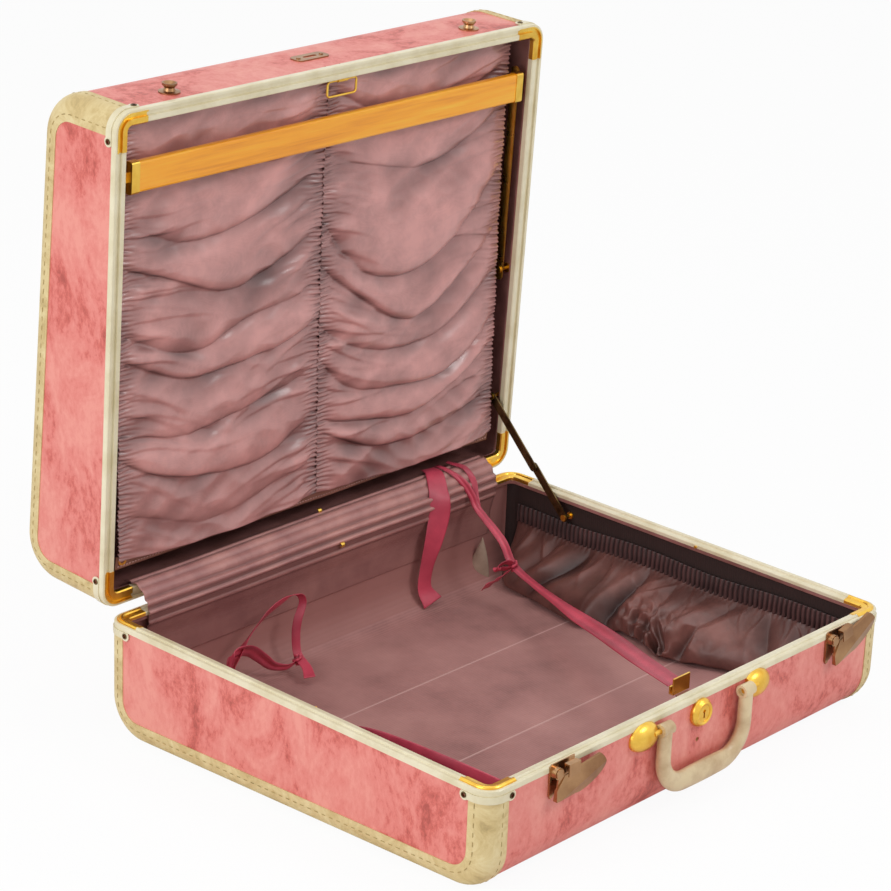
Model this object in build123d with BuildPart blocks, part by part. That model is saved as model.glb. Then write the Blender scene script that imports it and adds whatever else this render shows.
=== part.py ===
from build123d import *
import math
import os

os.makedirs("parts", exist_ok=True)

# ---------------------------------------------------------------- driving dimensions, mm
# The case is drawn shut about its mouth plane: Z 0 between the two halves, X along the
# hinge, -Y the handle side.  "inset" is measured inward from the outer face of the rims.
case_width = 533.0
case_depth = 452.0
front_height = 97.0
rear_height = 113.0
profile_corner = 40.0
end_rounding = 18.0

binding_thickness = 0.8
cover_thickness = 0.8
board_thickness = 4.0
lining_thickness = 1.0
binding_on_band = 24.0
binding_on_end = 22.0

rim_width = 13.0
rim_skirt = 6.0
rim_setback = 0.9
rim_sheet = 0.8
rim_inner_leg = 5.0
bead_centre = 5.6
bead_half = 1.9
bead_rise = 1.5
groove_half = 2.3
groove_depth = 2.1
base_web_under = 2.5
lid_web_under = 4.2
seat_gap = 0.1
welt_depth = 4.0

cap_leg = 35.0
cap_sheet = 0.45
cap_start = 2.5
guard_sheet = 0.9
guard_leg = 23.0
guard_drop = 6.4
rivet_from_corner = 26.0
rivet_drop = 9.2
rivet_radius = 2.6
rivet_hole = 1.6
rivet_proud = 0.7
ear_radius = 4.6

lid_open_angle = 87.5
hinge_outset = 4.0
knuckle_radius = 3.0
hinge_pin_radius = 1.25
running_fit = 0.05
hinge_places = (-165.0, 0.0, 165.0)
hinge_leaf_width = 44.0
hinge_leaf_drop = 24.0
hinge_leaf_sheet = 1.2
middle_knuckle = 14.0
knuckle_gap = 0.2

handle_pivot_drop = 12.0
handle_pivot_proud = 6.5
handle_thickness = 11.7
handle_arm_centre = 55.0
handle_arm_width = 14.0
handle_bottom = 79.0
handle_shoulder = 16.5
grip_height = 20.0
handle_corner = 29.0
handle_pin_radius = 2.5
handle_sink_radius = 3.5
handle_sink_depth = 3.0
dome_centre = 76.0
dome_half_length = 18.0
dome_half_height = 13.0
dome_proud = 9.5
dome_drop = 14.5

lock_drop = 17.0
lock_radius = 12.8
lock_proud = 6.6
plug_radius = 7.6
keyhole_radius = 1.7
keyhole_slot = 6.4
screw_hole_drop = 43.0
screw_hole_radius = 2.2

latch_places = (-195.5, 177.5)
latch_plate_sheet = 1.2
latch_plate_width = 30.0
latch_plate_top = 1.2
latch_plate_foot = 30.0
latch_pivot_in = 6.0
latch_pivot_drop = 6.5
latch_pin_radius = 1.6
latch_head_radius = 4.4
latch_head_sheet = 1.0
latch_lug_radius = 5.2
latch_leaf_proud = 5.0
latch_leaf_sheet = 1.4
latch_leaf_reach = 61.0
latch_leaf_top = 9.5
latch_tip_top = 4.5
latch_leaf_bottom = 29.5
latch_ridge_height = 4.4
latch_ridge_end = 13.0
latch_upper_slope = 9.0
latch_lower_slope = 13.0
latch_leaf_rest = (0.0, 13.0)
latch_tab_start = 13.0
latch_tab_width = 14.0
latch_tab_drop = 10.5
latch_tab_top = 0.4
latch_tab_sheet = 1.6
latch_tab_lap = 2.5

strike_place = 186.5
strike_rise = 25.2
strike_flange = 9.5
strike_flange_sheet = 1.2
strike_neck = 4.4
strike_head = 6.6
strike_proud = 8.6
strike_dish = 3.0
strike_lip = 1.0
hasp_centre = -9.0
hasp_rise = 37.0
hasp_width = 39.0
hasp_height = 15.0
hasp_sheet = 1.2

bar_centre_y = -165.0
bar_height = 27.5
bar_thickness = 8.0
bar_inner_z = 4.0
bar_end_gap = 30.5
bar_cap_length = 9.0
arm_sheet = 1.5
arm_width = 9.0
arm_wall_gap = 9.9
arm_low_z = 13.0
arm_top_y = -182.0
arm_end_y = 32.0
arm_pivot_y = 22.0
pivot_radius = 2.0
pivot_head_radius = 3.6

loop_centre = 4.0
loop_width = 36.0
loop_drop = 14.0
loop_wire = 1.1
loop_setback = 15.8
loop_axis_z = 8.1
loop_clip_length = 12.0

stay_base_setback = 86.0
stay_base_z = -22.5
stay_lid_setback = 73.0
stay_lid_z = 12.0
stay_lower_length = 58.5
stay_width = 8.5
stay_sheet = 1.4
stay_lower_gap = 10.5
stay_upper_gap = 12.7

curtain_sheet = 2.0
curtain_side_gap = 23.5
curtain_split = 1.0
curtain_top_gap = 0.3
curtain_top_z = 27.0
curtain_belly = ((-60.0, 26.0), (90.0, 21.0))
hem_setback = 42.0
hem_depth_z = 12.0
hem_height = 12.0
eyelet_radius = 4.6
eyelet_hole = 2.4

pocket_front_gap = 36.0
pocket_rear_gap = 22.0
pocket_top_z = 80.0
elastic_height = 15.0
elastic_thickness = 2.0
pouch_width = 70.0
pouch_gap = 0.35

gusset_end_gap = 38.5
gusset_sheet = 1.6
# (behind the rear face, height) of the strip's middle line, from the lid to the base
gusset_line = ((18.0, 19.2), (6.0, 19.2), (0.0, 17.8), (-6.0, 13.2), (-11.4, 7.0),
               (-14.6, 1.0), (-15.2, -10.0), (-12.0, -22.0), (-8.8, -34.0), (-8.4, -56.0))

ribbon_width = 18.0
ribbon_sheet = 1.2
ribbon_gap = 0.3
clip_x = 16.0
clip_setback = 34.0
clip_z = -8.0
clip_width = 22.0

# ---------------------------------------------------------------- values that follow
half_width = case_width / 2
half_depth = case_depth / 2
mean_height = (front_height + rear_height) / 2
tilt = math.atan((rear_height - front_height) / case_depth)
tilt_degrees = math.degrees(tilt)
hinge_y = half_depth + hinge_outset
cover_inset = binding_thickness
board_inset = cover_inset + cover_thickness
lining_inset = board_inset + board_thickness
inner_inset = lining_inset + lining_thickness
front_face = -(half_depth - cover_inset)
skirt_face = -half_depth
wall_inner_x = half_width - inner_inset
wall_inner_y = half_depth - inner_inset
bar_half_length = half_width - bar_end_gap
arm_outer_x = wall_inner_x - arm_wall_gap
loop_axis_y = -(half_depth - loop_setback)
stay_base_y = half_depth - stay_base_setback
stay_lid_y = half_depth - stay_lid_setback
stay_lower_x = wall_inner_x - stay_lower_gap
stay_upper_x = wall_inner_x - stay_upper_gap
curtain_half = half_width - curtain_side_gap
curtain_profile = (
    (-(wall_inner_y - curtain_top_gap), curtain_top_z), *curtain_belly,
    (half_depth - hem_setback, hem_depth_z),
)
pocket_front = -(half_depth - pocket_front_gap)
pocket_rear = half_depth - pocket_rear_gap
pouch_reach = wall_inner_x - pouch_width
gusset_half = half_width - gusset_end_gap
gusset_profile = [(half_depth + back, height) for back, height in gusset_line]

# base: turned about X until its big face lies on Z 0, with the origin under its middle
settle = Location(
    (0, -mean_height * math.sin(tilt), mean_height * math.cos(tilt)), (tilt_degrees, 0, 0)
)
swing_open = (
    Location((0, hinge_y, 0)) * Location((0, 0, 0), (-lid_open_angle, 0, 0))
    * Location((0, -hinge_y, 0))
)
lid_rest = settle * swing_open
as_drawn = Location((0, 0, 0))


def save(part, name, place):
    # names the solid, moves it to its resting place and writes it
    placed = part.moved(place)
    placed.label = name
    export_step(placed, "parts/" + name + ".step")


def shell_block(inset, top):
    # the base's tapered outline, inset evenly, up to the height "top"
    side = half_depth - inset
    lift = inset / math.cos(tilt)
    slope = math.tan(tilt)
    with BuildPart() as block:
        with BuildSketch(Plane.YZ.offset(-(half_width - inset))) as outline:
            with BuildLine():
                Polyline(
                    (-side, top),
                    (-side, -(mean_height - side * slope) + lift),
                    (side, -(mean_height + side * slope) + lift),
                    (side, top),
                    close=True,
                )
            make_face()
            fillet(outline.vertices().sort_by(Axis.Y)[:2], profile_corner - inset)
        extrude(amount=case_width - 2 * inset)
        if inset < end_rounding:
            end_x = half_width - inset
            ends = [
                edge
                for edge in block.edges()
                if abs(abs(edge.center().X) - end_x) < 0.01 and edge.center().Z < top - 0.5
            ]
            fillet(ends, end_rounding - inset)
    return block.part


def layer(outer, inner, top):
    return shell_block(outer, top) - shell_block(inner, top + 20)


def corner_path(leg_x, leg_y):
    # one corner of the rim's outer line: a leg along X, the arc and a leg along Y
    corner = end_rounding
    with BuildLine() as path:
        first = Line(
            (half_width - leg_x, -half_depth, 0), (half_width - corner, -half_depth, 0)
        )
        turn = TangentArc(
            first @ 1, (half_width, -half_depth + corner, 0), tangent=first % 1
        )
        Line(turn @ 1, (half_width, -half_depth + leg_y, 0))
    return path.wires()[0]


def rim_path():
    # the whole outer line, started in the middle of the front
    corner = end_rounding
    with BuildLine() as path:
        a = Line((0, -half_depth, 0), (half_width - corner, -half_depth, 0))
        b = TangentArc(a @ 1, (half_width, -half_depth + corner, 0), tangent=a % 1)
        c = Line(b @ 1, (half_width, half_depth - corner, 0))
        d = TangentArc(c @ 1, (half_width - corner, half_depth, 0), tangent=c % 1)
        e = Line(d @ 1, (-half_width + corner, half_depth, 0))
        f = TangentArc(e @ 1, (-half_width, half_depth - corner, 0), tangent=e % 1)
        g = Line(f @ 1, (-half_width, -half_depth + corner, 0))
        h = TangentArc(g @ 1, (-half_width + corner, -half_depth, 0), tangent=g % 1)
        Line(h @ 1, (0, -half_depth, 0))
    return path.wires()[0]


def section_plane(start_x):
    # X points inward from the rim's outer face, Y up
    return Plane(origin=(start_x, -half_depth, 0), x_dir=(0, 1, 0), z_dir=(1, 0, 0))


def stay_link(length, sheet_x):
    # flat link with round ends, from the origin of YZ along +Y
    with BuildPart() as link:
        with BuildSketch(Plane.YZ.offset(sheet_x)):
            with Locations((length / 2, 0)):
                SlotCenterToCenter(length, stay_width)
        extrude(amount=stay_sheet)
    return link.part


# ---------------------------------------------------------------- base: shell, cover, lining
board_top = -(base_web_under + seat_gap)
lid_board_top = -(lid_web_under + seat_gap)

with BuildPart() as screw_hole:
    with Locations((0, front_face, -screw_hole_drop)):
        Cylinder(screw_hole_radius, 6, rotation=(90, 0, 0))

with BuildPart() as base_shell:
    add(layer(board_inset, lining_inset, board_top))
    add(screw_hole.part, mode=Mode.SUBTRACT)

with BuildPart() as base_cover:
    add(layer(cover_inset, board_inset, board_top))
    add(screw_hole.part, mode=Mode.SUBTRACT)

# the big face is doubled so that the case lies on a flat panel, not on its bindings
bottom_panel = layer(0, cover_inset, board_top) & Box(
    2 * (half_width - binding_on_band), case_depth - 2 * profile_corner - 4, 400
)
base_cover_part = base_cover.part + bottom_panel

with BuildPart() as base_lining:
    add(layer(lining_inset, inner_inset, board_top))

binding_ring = layer(0, binding_thickness, -(rim_skirt + seat_gap / 2))


def binding(side):
    # keeps the strip over the end's rounded edge: narrow on the band and on the end panel
    strip_middle = side * (half_width - binding_on_band / 2 + 5)
    strip = binding_ring & (
        Pos(strip_middle, 0, -70) * Box(binding_on_band + 10, case_depth + 20, 200)
    )
    window = Pos(side * half_width, 0, 0) * (
        shell_block(binding_on_end, 10) & Box(2 * case_width, 2 * case_depth, 400)
    )
    return strip - window


base_binding_left = binding(-1)
base_binding_right = binding(1)

# ---------------------------------------------------------------- base rim with its bead
face = -rim_setback
bead_radius = (bead_half**2 + bead_rise**2) / (2 * bead_rise)
bead_peak = face + bead_rise
bead_middle = bead_peak - bead_radius

with BuildPart() as base_rim:
    with BuildSketch(section_plane(0)) as base_rim_section:
        with BuildLine():
            Polyline(
                (rim_sheet, -base_web_under), (rim_sheet, -rim_skirt), (0, -rim_skirt),
                (0, face - 0.7), (0.7, face), (bead_centre - bead_half, face),
            )
            ThreePointArc(
                (bead_centre - bead_half, face), (bead_centre, bead_peak),
                (bead_centre + bead_half, face),
            )
            Polyline(
                (bead_centre + bead_half, face), (rim_width - 0.6, face - 0.7),
                (rim_width, face - 1.3), (rim_width, -rim_inner_leg),
                (rim_width - 1.2, -rim_inner_leg), (rim_width - 1.2, -base_web_under),
                (rim_sheet, -base_web_under),
            )
        make_face()
    sweep(path=rim_path())

welt_outer = inner_inset + seat_gap
with BuildPart() as base_lining_welt:
    with BuildSketch(section_plane(0)):
        with BuildLine():
            Polyline(
                (welt_outer, board_top), (rim_width - 1.3, board_top),
                (rim_width - 1.3, -rim_inner_leg - seat_gap),
                (rim_width - 0.3, -rim_inner_leg - seat_gap),
                (rim_width - 0.3, -rim_inner_leg - welt_depth + 0.8),
                (rim_width - 1.1, -rim_inner_leg - welt_depth),
                (welt_outer, -rim_inner_leg - welt_depth), close=True,
            )
        make_face()
    sweep(path=rim_path())

# ---------------------------------------------------------------- lid rim with its groove
with BuildPart() as lid_rim:
    with BuildSketch(section_plane(0)):
        with BuildLine():
            Polyline(
                (rim_sheet, lid_web_under), (rim_sheet, rim_skirt), (0, rim_skirt),
                (0, rim_setback + 0.7), (0.7, rim_setback),
                (bead_centre - groove_half, rim_setback),
                (bead_centre - groove_half + 0.4, rim_setback + groove_depth),
                (bead_centre + groove_half - 0.4, rim_setback + groove_depth),
                (bead_centre + groove_half, rim_setback),
                (rim_width - 0.8, rim_setback), (rim_width, rim_setback + 0.8),
                (rim_width, rim_inner_leg + 1.6), (rim_width - 1.2, rim_inner_leg + 1.6),
                (rim_width - 1.2, lid_web_under), close=True,
            )
        make_face()
    sweep(path=rim_path())

lid_leg = rim_inner_leg + 1.6
with BuildPart() as lid_lining_welt:
    with BuildSketch(section_plane(0)):
        with BuildLine():
            Polyline(
                (welt_outer, -lid_board_top), (rim_width - 1.3, -lid_board_top),
                (rim_width - 1.3, lid_leg + seat_gap), (rim_width - 0.3, lid_leg + seat_gap),
                (rim_width - 0.3, lid_leg + welt_depth - 2.0),
                (rim_width - 1.1, lid_leg + welt_depth - 1.2),
                (welt_outer, lid_leg + welt_depth - 1.2), close=True,
            )
        make_face()
    sweep(path=rim_path())

# ---------------------------------------------------------------- corner caps
cap_radius = bead_radius + cap_sheet
cap_face = face + cap_sheet
cap_bead_half = math.sqrt(cap_radius**2 - (cap_face - bead_middle) ** 2)

with BuildPart() as base_cap:
    with BuildSketch(section_plane(half_width - cap_leg)):
        with BuildLine():
            Polyline(
                (bead_centre - bead_half, face), (cap_start, face), (cap_start, cap_face),
                (bead_centre - cap_bead_half, cap_face),
            )
            ThreePointArc(
                (bead_centre - cap_bead_half, cap_face),
                (bead_centre, bead_peak + cap_sheet),
                (bead_centre + cap_bead_half, cap_face),
            )
            Polyline(
                (bead_centre + cap_bead_half, cap_face),
                (rim_width - 0.6 + cap_sheet / 2, face - 0.7 + cap_sheet),
                (rim_width + cap_sheet, face - 1.3 + cap_sheet / 2),
                (rim_width + cap_sheet, -rim_inner_leg + 0.4),
                (rim_width, -rim_inner_leg + 0.4), (rim_width, face - 1.3),
                (rim_width - 0.6, face - 0.7), (bead_centre + bead_half, face),
            )
            ThreePointArc(
                (bead_centre + bead_half, face), (bead_centre, bead_peak),
                (bead_centre - bead_half, face),
            )
        make_face()
    sweep(path=corner_path(cap_leg, cap_leg))

lid_face = rim_setback
groove_wall = bead_centre - groove_half
with BuildPart() as lid_cap:
    with BuildSketch(section_plane(half_width - cap_leg)):
        with BuildLine():
            Polyline(
                (groove_wall, lid_face), (cap_start, lid_face),
                (cap_start, lid_face - cap_sheet),
                (groove_wall + cap_sheet, lid_face - cap_sheet),
                (groove_wall + cap_sheet + 0.4, lid_face + groove_depth - cap_sheet),
                (bead_centre + groove_half - cap_sheet - 0.4,
                 lid_face + groove_depth - cap_sheet),
                (bead_centre + groove_half - cap_sheet, lid_face - cap_sheet),
                (rim_width - 0.6, lid_face - cap_sheet),
                (rim_width + cap_sheet, lid_face + 0.6),
                (rim_width + cap_sheet, lid_leg - 0.6), (rim_width, lid_leg - 0.6),
                (rim_width, lid_face + 0.8), (rim_width - 0.8, lid_face),
                (bead_centre + groove_half, lid_face),
                (bead_centre + groove_half - 0.4, lid_face + groove_depth),
                (groove_wall + 0.4, lid_face + groove_depth), close=True,
            )
        make_face()
    sweep(path=corner_path(cap_leg, cap_leg))


def four_corners(piece):
    # the front right piece, mirrored to the other three corners
    pair = [piece, mirror(piece, about=Plane.YZ)]
    return Compound(pair + [mirror(one, about=Plane.XZ) for one in pair])


base_corner_caps = four_corners(base_cap.part)
lid_corner_caps = four_corners(lid_cap.part)

# ---------------------------------------------------------------- corner guards and rivets
guard_top = -(rim_skirt + seat_gap)
guard_bottom = guard_top - guard_drop
with BuildPart() as guard_ring:
    with BuildSketch(Plane.XY.offset(guard_bottom)):
        RectangleRounded(
            case_width + 2 * guard_sheet, case_depth + 2 * guard_sheet,
            end_rounding + guard_sheet,
        )
        RectangleRounded(case_width, case_depth, end_rounding, mode=Mode.SUBTRACT)
    extrude(amount=guard_drop)

rivet_x = half_width - rivet_from_corner
rivet_y = -(half_depth - rivet_from_corner)
rivet_z = -rivet_drop
guard_corner = guard_ring.part & (
    Pos(half_width, -half_depth, 0) * Box(2 * guard_leg, 2 * guard_leg, 60)
)
with BuildPart() as ears:
    with Locations((rivet_x, -half_depth - guard_sheet / 2, rivet_z)):
        Cylinder(ear_radius, guard_sheet, rotation=(90, 0, 0))
    with Locations((half_width + guard_sheet / 2, rivet_y, rivet_z)):
        Cylinder(ear_radius, guard_sheet, rotation=(0, 90, 0))
skirt_clear = Pos(0, 0, 10 + guard_top) * Box(2 * case_width, 2 * case_depth, 20)
guard_piece = guard_corner + ears.part - skirt_clear

with BuildPart() as rivet_pair:
    rivet_out = guard_sheet + rivet_proud
    with Locations((rivet_x, -half_depth - rivet_out / 2, rivet_z)):
        Cylinder(rivet_radius, rivet_out, rotation=(90, 0, 0))
        Cylinder(rivet_hole, rivet_out + 1, rotation=(90, 0, 0), mode=Mode.SUBTRACT)
    with Locations((half_width + rivet_out / 2, rivet_y, rivet_z)):
        Cylinder(rivet_radius, rivet_out, rotation=(0, 90, 0))
        Cylinder(rivet_hole, rivet_out + 1, rotation=(0, 90, 0), mode=Mode.SUBTRACT)
guard_piece = guard_piece - Pos(rivet_x, -half_depth, rivet_z) * Cylinder(
    rivet_radius, 8, rotation=(90, 0, 0)
)
guard_piece = guard_piece - Pos(half_width, rivet_y, rivet_z) * Cylinder(
    rivet_radius, 8, rotation=(0, 90, 0)
)

base_corner_guards = four_corners(guard_piece)
base_corner_rivets = four_corners(rivet_pair.part)

# ---------------------------------------------------------------- hinges outside the rear
leaf_outer = half_depth + hinge_leaf_sheet
knuckle_side = (hinge_leaf_width - middle_knuckle) / 2 - knuckle_gap
knuckle_offset = middle_knuckle / 2 + knuckle_gap + knuckle_side / 2


def hinge_leaf(centres, length):
    # plate on the rear wall, thickened below the rim's skirt, with its knuckles
    with BuildPart() as leaf:
        with Locations((0, leaf_outer - hinge_leaf_sheet / 2, -hinge_leaf_drop / 2 - 1.2)):
            Box(hinge_leaf_width, hinge_leaf_sheet, hinge_leaf_drop - 2.4)
        backing = hinge_leaf_drop - rim_skirt - seat_gap
        with Locations((0, half_depth - cover_inset / 2, -hinge_leaf_drop + backing / 2)):
            Box(hinge_leaf_width, cover_inset, backing)
        with Locations([(x, hinge_y - 1.4, -2.7) for x in centres]):
            Box(length, 2 * knuckle_radius - 1.6, 2.0)
        with Locations([(x, hinge_y, 0) for x in centres]):
            Cylinder(knuckle_radius, length, rotation=(0, 90, 0))
    return leaf.part


base_leaf = hinge_leaf((-knuckle_offset, knuckle_offset), knuckle_side)
base_leaf = base_leaf - Pos(0, hinge_y, 0) * Cylinder(
    hinge_pin_radius, 80, rotation=(0, 90, 0)
)
lid_leaf = mirror(hinge_leaf((0,), middle_knuckle), about=Plane.XY)
lid_leaf = lid_leaf - Pos(0, hinge_y, 0) * Cylinder(
    hinge_pin_radius + running_fit, 80, rotation=(0, 90, 0)
)
hinge_pin = Pos(0, hinge_y, 0) * Cylinder(
    hinge_pin_radius, hinge_leaf_width + 1.0, rotation=(0, 90, 0)
)
base_hinge_leaves = Compound([Pos(x, 0, 0) * base_leaf for x in hinge_places])
lid_hinge_leaves = Compound([Pos(x, 0, 0) * lid_leaf for x in hinge_places])
hinge_pins = Compound([Pos(x, 0, 0) * hinge_pin for x in hinge_places])

# ---------------------------------------------------------------- front hardware of the base
# everything on the front wall sits on the cover and steps over the rim's skirt
skirt_zone = Pos(0, skirt_face + 20 - seat_gap / 2, 10 - rim_skirt - seat_gap / 2) * Box(
    2 * case_width, 40, 20
)
wall_behind = Pos(0, front_face + 50, 0) * Box(2 * case_width, 100, 400)

with BuildPart() as lock_bezel:
    with BuildSketch(Plane.YZ) as bezel_outline:
        with BuildLine():
            Polyline(
                (front_face, plug_radius + running_fit), (front_face, lock_radius),
                (front_face - 1.6, lock_radius),
            )
            Spline(
                (front_face - 1.6, lock_radius),
                (front_face - lock_proud * 0.78, lock_radius - 1.8),
                (front_face - lock_proud, plug_radius + 1.4),
                tangents=((-1, 0), (0, -1)),
            )
            Polyline(
                (front_face - lock_proud, plug_radius + 1.4),
                (front_face - lock_proud + 0.8, plug_radius + running_fit),
                (front_face, plug_radius + running_fit),
            )
        make_face()
    revolve(axis=Axis.Y)
lock_bezel_part = Pos(0, 0, -lock_drop) * lock_bezel.part - skirt_zone

plug_depth = lock_proud - 1.2
with BuildPart() as lock_cylinder:
    with Locations((0, front_face - plug_depth / 2, -lock_drop)):
        Cylinder(plug_radius, plug_depth, rotation=(90, 0, 0))
    with Locations((0, front_face - plug_depth, -lock_drop + 2)):
        Cylinder(keyhole_radius, 5, rotation=(90, 0, 0), mode=Mode.SUBTRACT)
    with Locations((0, front_face - plug_depth, -lock_drop + 2 - keyhole_slot / 2)):
        Box(1.7, 5, keyhole_slot, mode=Mode.SUBTRACT)

handle_axis_y = skirt_face - handle_pivot_proud
handle_axis_z = -handle_pivot_drop
handle_half = handle_arm_centre + handle_arm_width / 2
handle_gap_half = handle_arm_centre - handle_arm_width / 2
grip_line_z = -(handle_bottom - grip_height / 2)

# moulded grip: one oval section carried down, across and up, fullest under the hand
with BuildLine() as handle_route:
    FilletPolyline(
        (-handle_arm_centre, handle_axis_y, handle_axis_z),
        (-handle_arm_centre, handle_axis_y, grip_line_z),
        (handle_arm_centre, handle_axis_y, grip_line_z),
        (handle_arm_centre, handle_axis_y, handle_axis_z),
        radius=handle_corner,
    )
route = handle_route.wire()
handle_stations = (0, 0.25, 0.5, 0.75, 1)
handle_heights = (handle_arm_width, handle_shoulder, grip_height, handle_shoulder, handle_arm_width)
with BuildPart() as handle_blank:
    for share, height in zip(handle_stations, handle_heights):
        with BuildSketch(Plane(route @ share, x_dir=(0, 1, 0), z_dir=route % share)):
            Ellipse(handle_thickness / 2, height / 2)
    sweep(path=route, multisection=True)
    with Locations(
        (-handle_arm_centre, handle_axis_y, handle_axis_z),
        (handle_arm_centre, handle_axis_y, handle_axis_z),
    ):
        Cylinder(handle_thickness / 2, handle_arm_width, rotation=(0, 90, 0))

handle_part = handle_blank.part
for side in (-1, 1):
    bore = Pos(side * handle_arm_centre, handle_axis_y, handle_axis_z)
    handle_part = handle_part - bore * Cylinder(
        handle_pin_radius + running_fit, 40, rotation=(0, 90, 0)
    )
    sink = Pos(side * handle_gap_half, handle_axis_y, handle_axis_z)
    handle_part = handle_part - sink * Cylinder(
        handle_sink_radius, 2 * handle_sink_depth, rotation=(0, 90, 0)
    )

dome_cut = handle_half + 0.5
with BuildPart() as dome_blank:
    Sphere(10)
    scale(by=(dome_half_length / 10, dome_proud / 10, dome_half_height / 10))
dome_right = Pos(dome_centre, front_face, -dome_drop) * dome_blank.part
dome_right = dome_right - wall_behind - skirt_zone
dome_right = dome_right - Pos(dome_cut - 50, front_face, -dome_drop) * Box(100, 100, 100)
dome_right = dome_right - Pos(dome_cut, handle_axis_y, handle_axis_z) * Cylinder(
    handle_pin_radius, 16, rotation=(0, 90, 0)
)
handle_brackets = Compound([dome_right, mirror(dome_right, about=Plane.YZ)])

pin_inner = handle_gap_half + handle_sink_depth + 0.2
pin_outer = dome_cut + 8
pin_right = Pos((pin_inner + pin_outer) / 2, handle_axis_y, handle_axis_z) * Cylinder(
    handle_pin_radius, pin_outer - pin_inner, rotation=(0, 90, 0)
)
handle_pins = Compound([pin_right, mirror(pin_right, about=Plane.YZ)])

# ---------------------------------------------------------------- latches
latch_back = skirt_face - latch_leaf_proud
latch_front = latch_back - latch_ridge_height
latch_head_y = latch_back - latch_leaf_sheet - 0.2
hook_gap = 1.2


def latch_plate(start_x):
    # pointed plate on the wall, with the boss that the leaf turns on
    pivot_x = start_x + latch_pivot_in
    with BuildPart() as plate:
        with BuildSketch(Plane.XZ.offset(-front_face)):
            with BuildLine():
                Polyline(
                    (start_x, latch_plate_top - 2), (start_x + 0.6, -latch_plate_foot + 3),
                    (start_x + 2.4, -latch_plate_foot), (start_x + 8, -latch_plate_foot + 5),
                    (start_x + latch_plate_width, -latch_leaf_top),
                    (start_x + latch_plate_width, latch_plate_top),
                    (start_x + 2, latch_plate_top), close=True,
                )
            make_face()
        extrude(amount=latch_plate_sheet + cover_inset)
        with Locations((pivot_x, (latch_back + 0.1 + front_face) / 2, -latch_pivot_drop)):
            Cylinder(latch_lug_radius, front_face - latch_back - 0.1, rotation=(90, 0, 0))
    body = plate.part - skirt_zone - wall_behind
    return body - Pos(pivot_x, latch_back, -latch_pivot_drop) * Cylinder(
        latch_pin_radius, 30, rotation=(90, 0, 0)
    )


def latch_pin(start_x):
    # headed pin through the leaf's lug into the boss
    back = skirt_face - 0.1
    shank = Pos(
        start_x + latch_pivot_in, (back + latch_head_y) / 2, -latch_pivot_drop
    ) * Cylinder(latch_pin_radius, back - latch_head_y, rotation=(90, 0, 0))
    head = Pos(
        start_x + latch_pivot_in, latch_head_y - latch_head_sheet / 2, -latch_pivot_drop
    ) * Cylinder(latch_head_radius, latch_head_sheet, rotation=(90, 0, 0))
    return shank + head


def latch_finger_tab(start_x):
    # strip folded over the leaf's upper edge: up its back, forward, and down in front
    tab_x = start_x + latch_tab_start + latch_tab_width / 2
    tab_front = latch_front - hook_gap
    foot = -latch_leaf_top - latch_tab_lap
    back_y = latch_back - latch_leaf_sheet / 2
    back = Pos(tab_x, back_y, (latch_tab_top + foot) / 2) * Box(
        latch_tab_width, latch_leaf_sheet, latch_tab_top - foot
    )
    over = Pos(tab_x, (tab_front + latch_back) / 2, latch_tab_top - latch_tab_sheet / 2) * Box(
        latch_tab_width, latch_back - tab_front, latch_tab_sheet
    )
    front = Pos(tab_x, tab_front + 0.5, (latch_tab_top - latch_tab_drop) / 2) * Box(
        latch_tab_width, 1.0, latch_tab_top + latch_tab_drop
    )
    return back + over + front


def latch_leaf(start_x, turned):
    # pressed leaf with a long ridge; it turns beside the wall on the pin through its lug
    pivot_x = start_x + latch_pivot_in
    end_x = start_x + latch_leaf_reach
    low = -latch_leaf_bottom
    step_x = start_x + 12.5
    with BuildPart() as blade:
        with BuildSketch(Plane.XZ.offset(-latch_back)):
            with BuildLine():
                Polyline(
                    (end_x - 5, -latch_tip_top), (step_x, -latch_leaf_top - 0.4),
                    (start_x + 2.2, low + 9), (start_x + 1, low), (start_x + 26, low),
                )
                Spline(
                    (start_x + 26, low), (end_x - 11, low + 3.6), (end_x, -latch_ridge_end - 3),
                    (end_x - 5, -latch_tip_top),
                )
            make_face()
        extrude(amount=latch_ridge_height)
    ridge_run = math.degrees(math.atan2(latch_leaf_bottom - latch_ridge_end, latch_leaf_reach - 8))
    ridge = Pos(start_x + 6, latch_front, low) * Rot(0, -ridge_run, 0)
    upper_cut = ridge * Rot(-latch_upper_slope, 0, 0) * Pos(0, -10, 50) * Box(200, 20, 100)
    lower_cut = ridge * Rot(latch_lower_slope, 0, 0) * Pos(0, -10, -50) * Box(200, 20, 100)
    body = blade.part - upper_cut - lower_cut
    with BuildPart() as lug:
        with BuildSketch(Plane.XZ.offset(-latch_back)):
            with BuildLine():
                Polyline(
                    (pivot_x, -latch_pivot_drop), (start_x + 20, -latch_leaf_top - 1),
                    (start_x + 20, low + 6), (start_x + 3, low + 6), close=True,
                )
            make_face()
            with Locations((pivot_x, -latch_pivot_drop)):
                Circle(latch_lug_radius)
        extrude(amount=latch_leaf_sheet)
    body = body + lug.part + latch_finger_tab(start_x)
    body = body - Pos(pivot_x, latch_back, -latch_pivot_drop) * Cylinder(
        latch_pin_radius + running_fit, 30, rotation=(90, 0, 0)
    )
    pivot = Location((pivot_x, 0, -latch_pivot_drop))
    return body.moved(pivot * Location((0, 0, 0), (0, -turned, 0)) * pivot.inverse())


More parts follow.
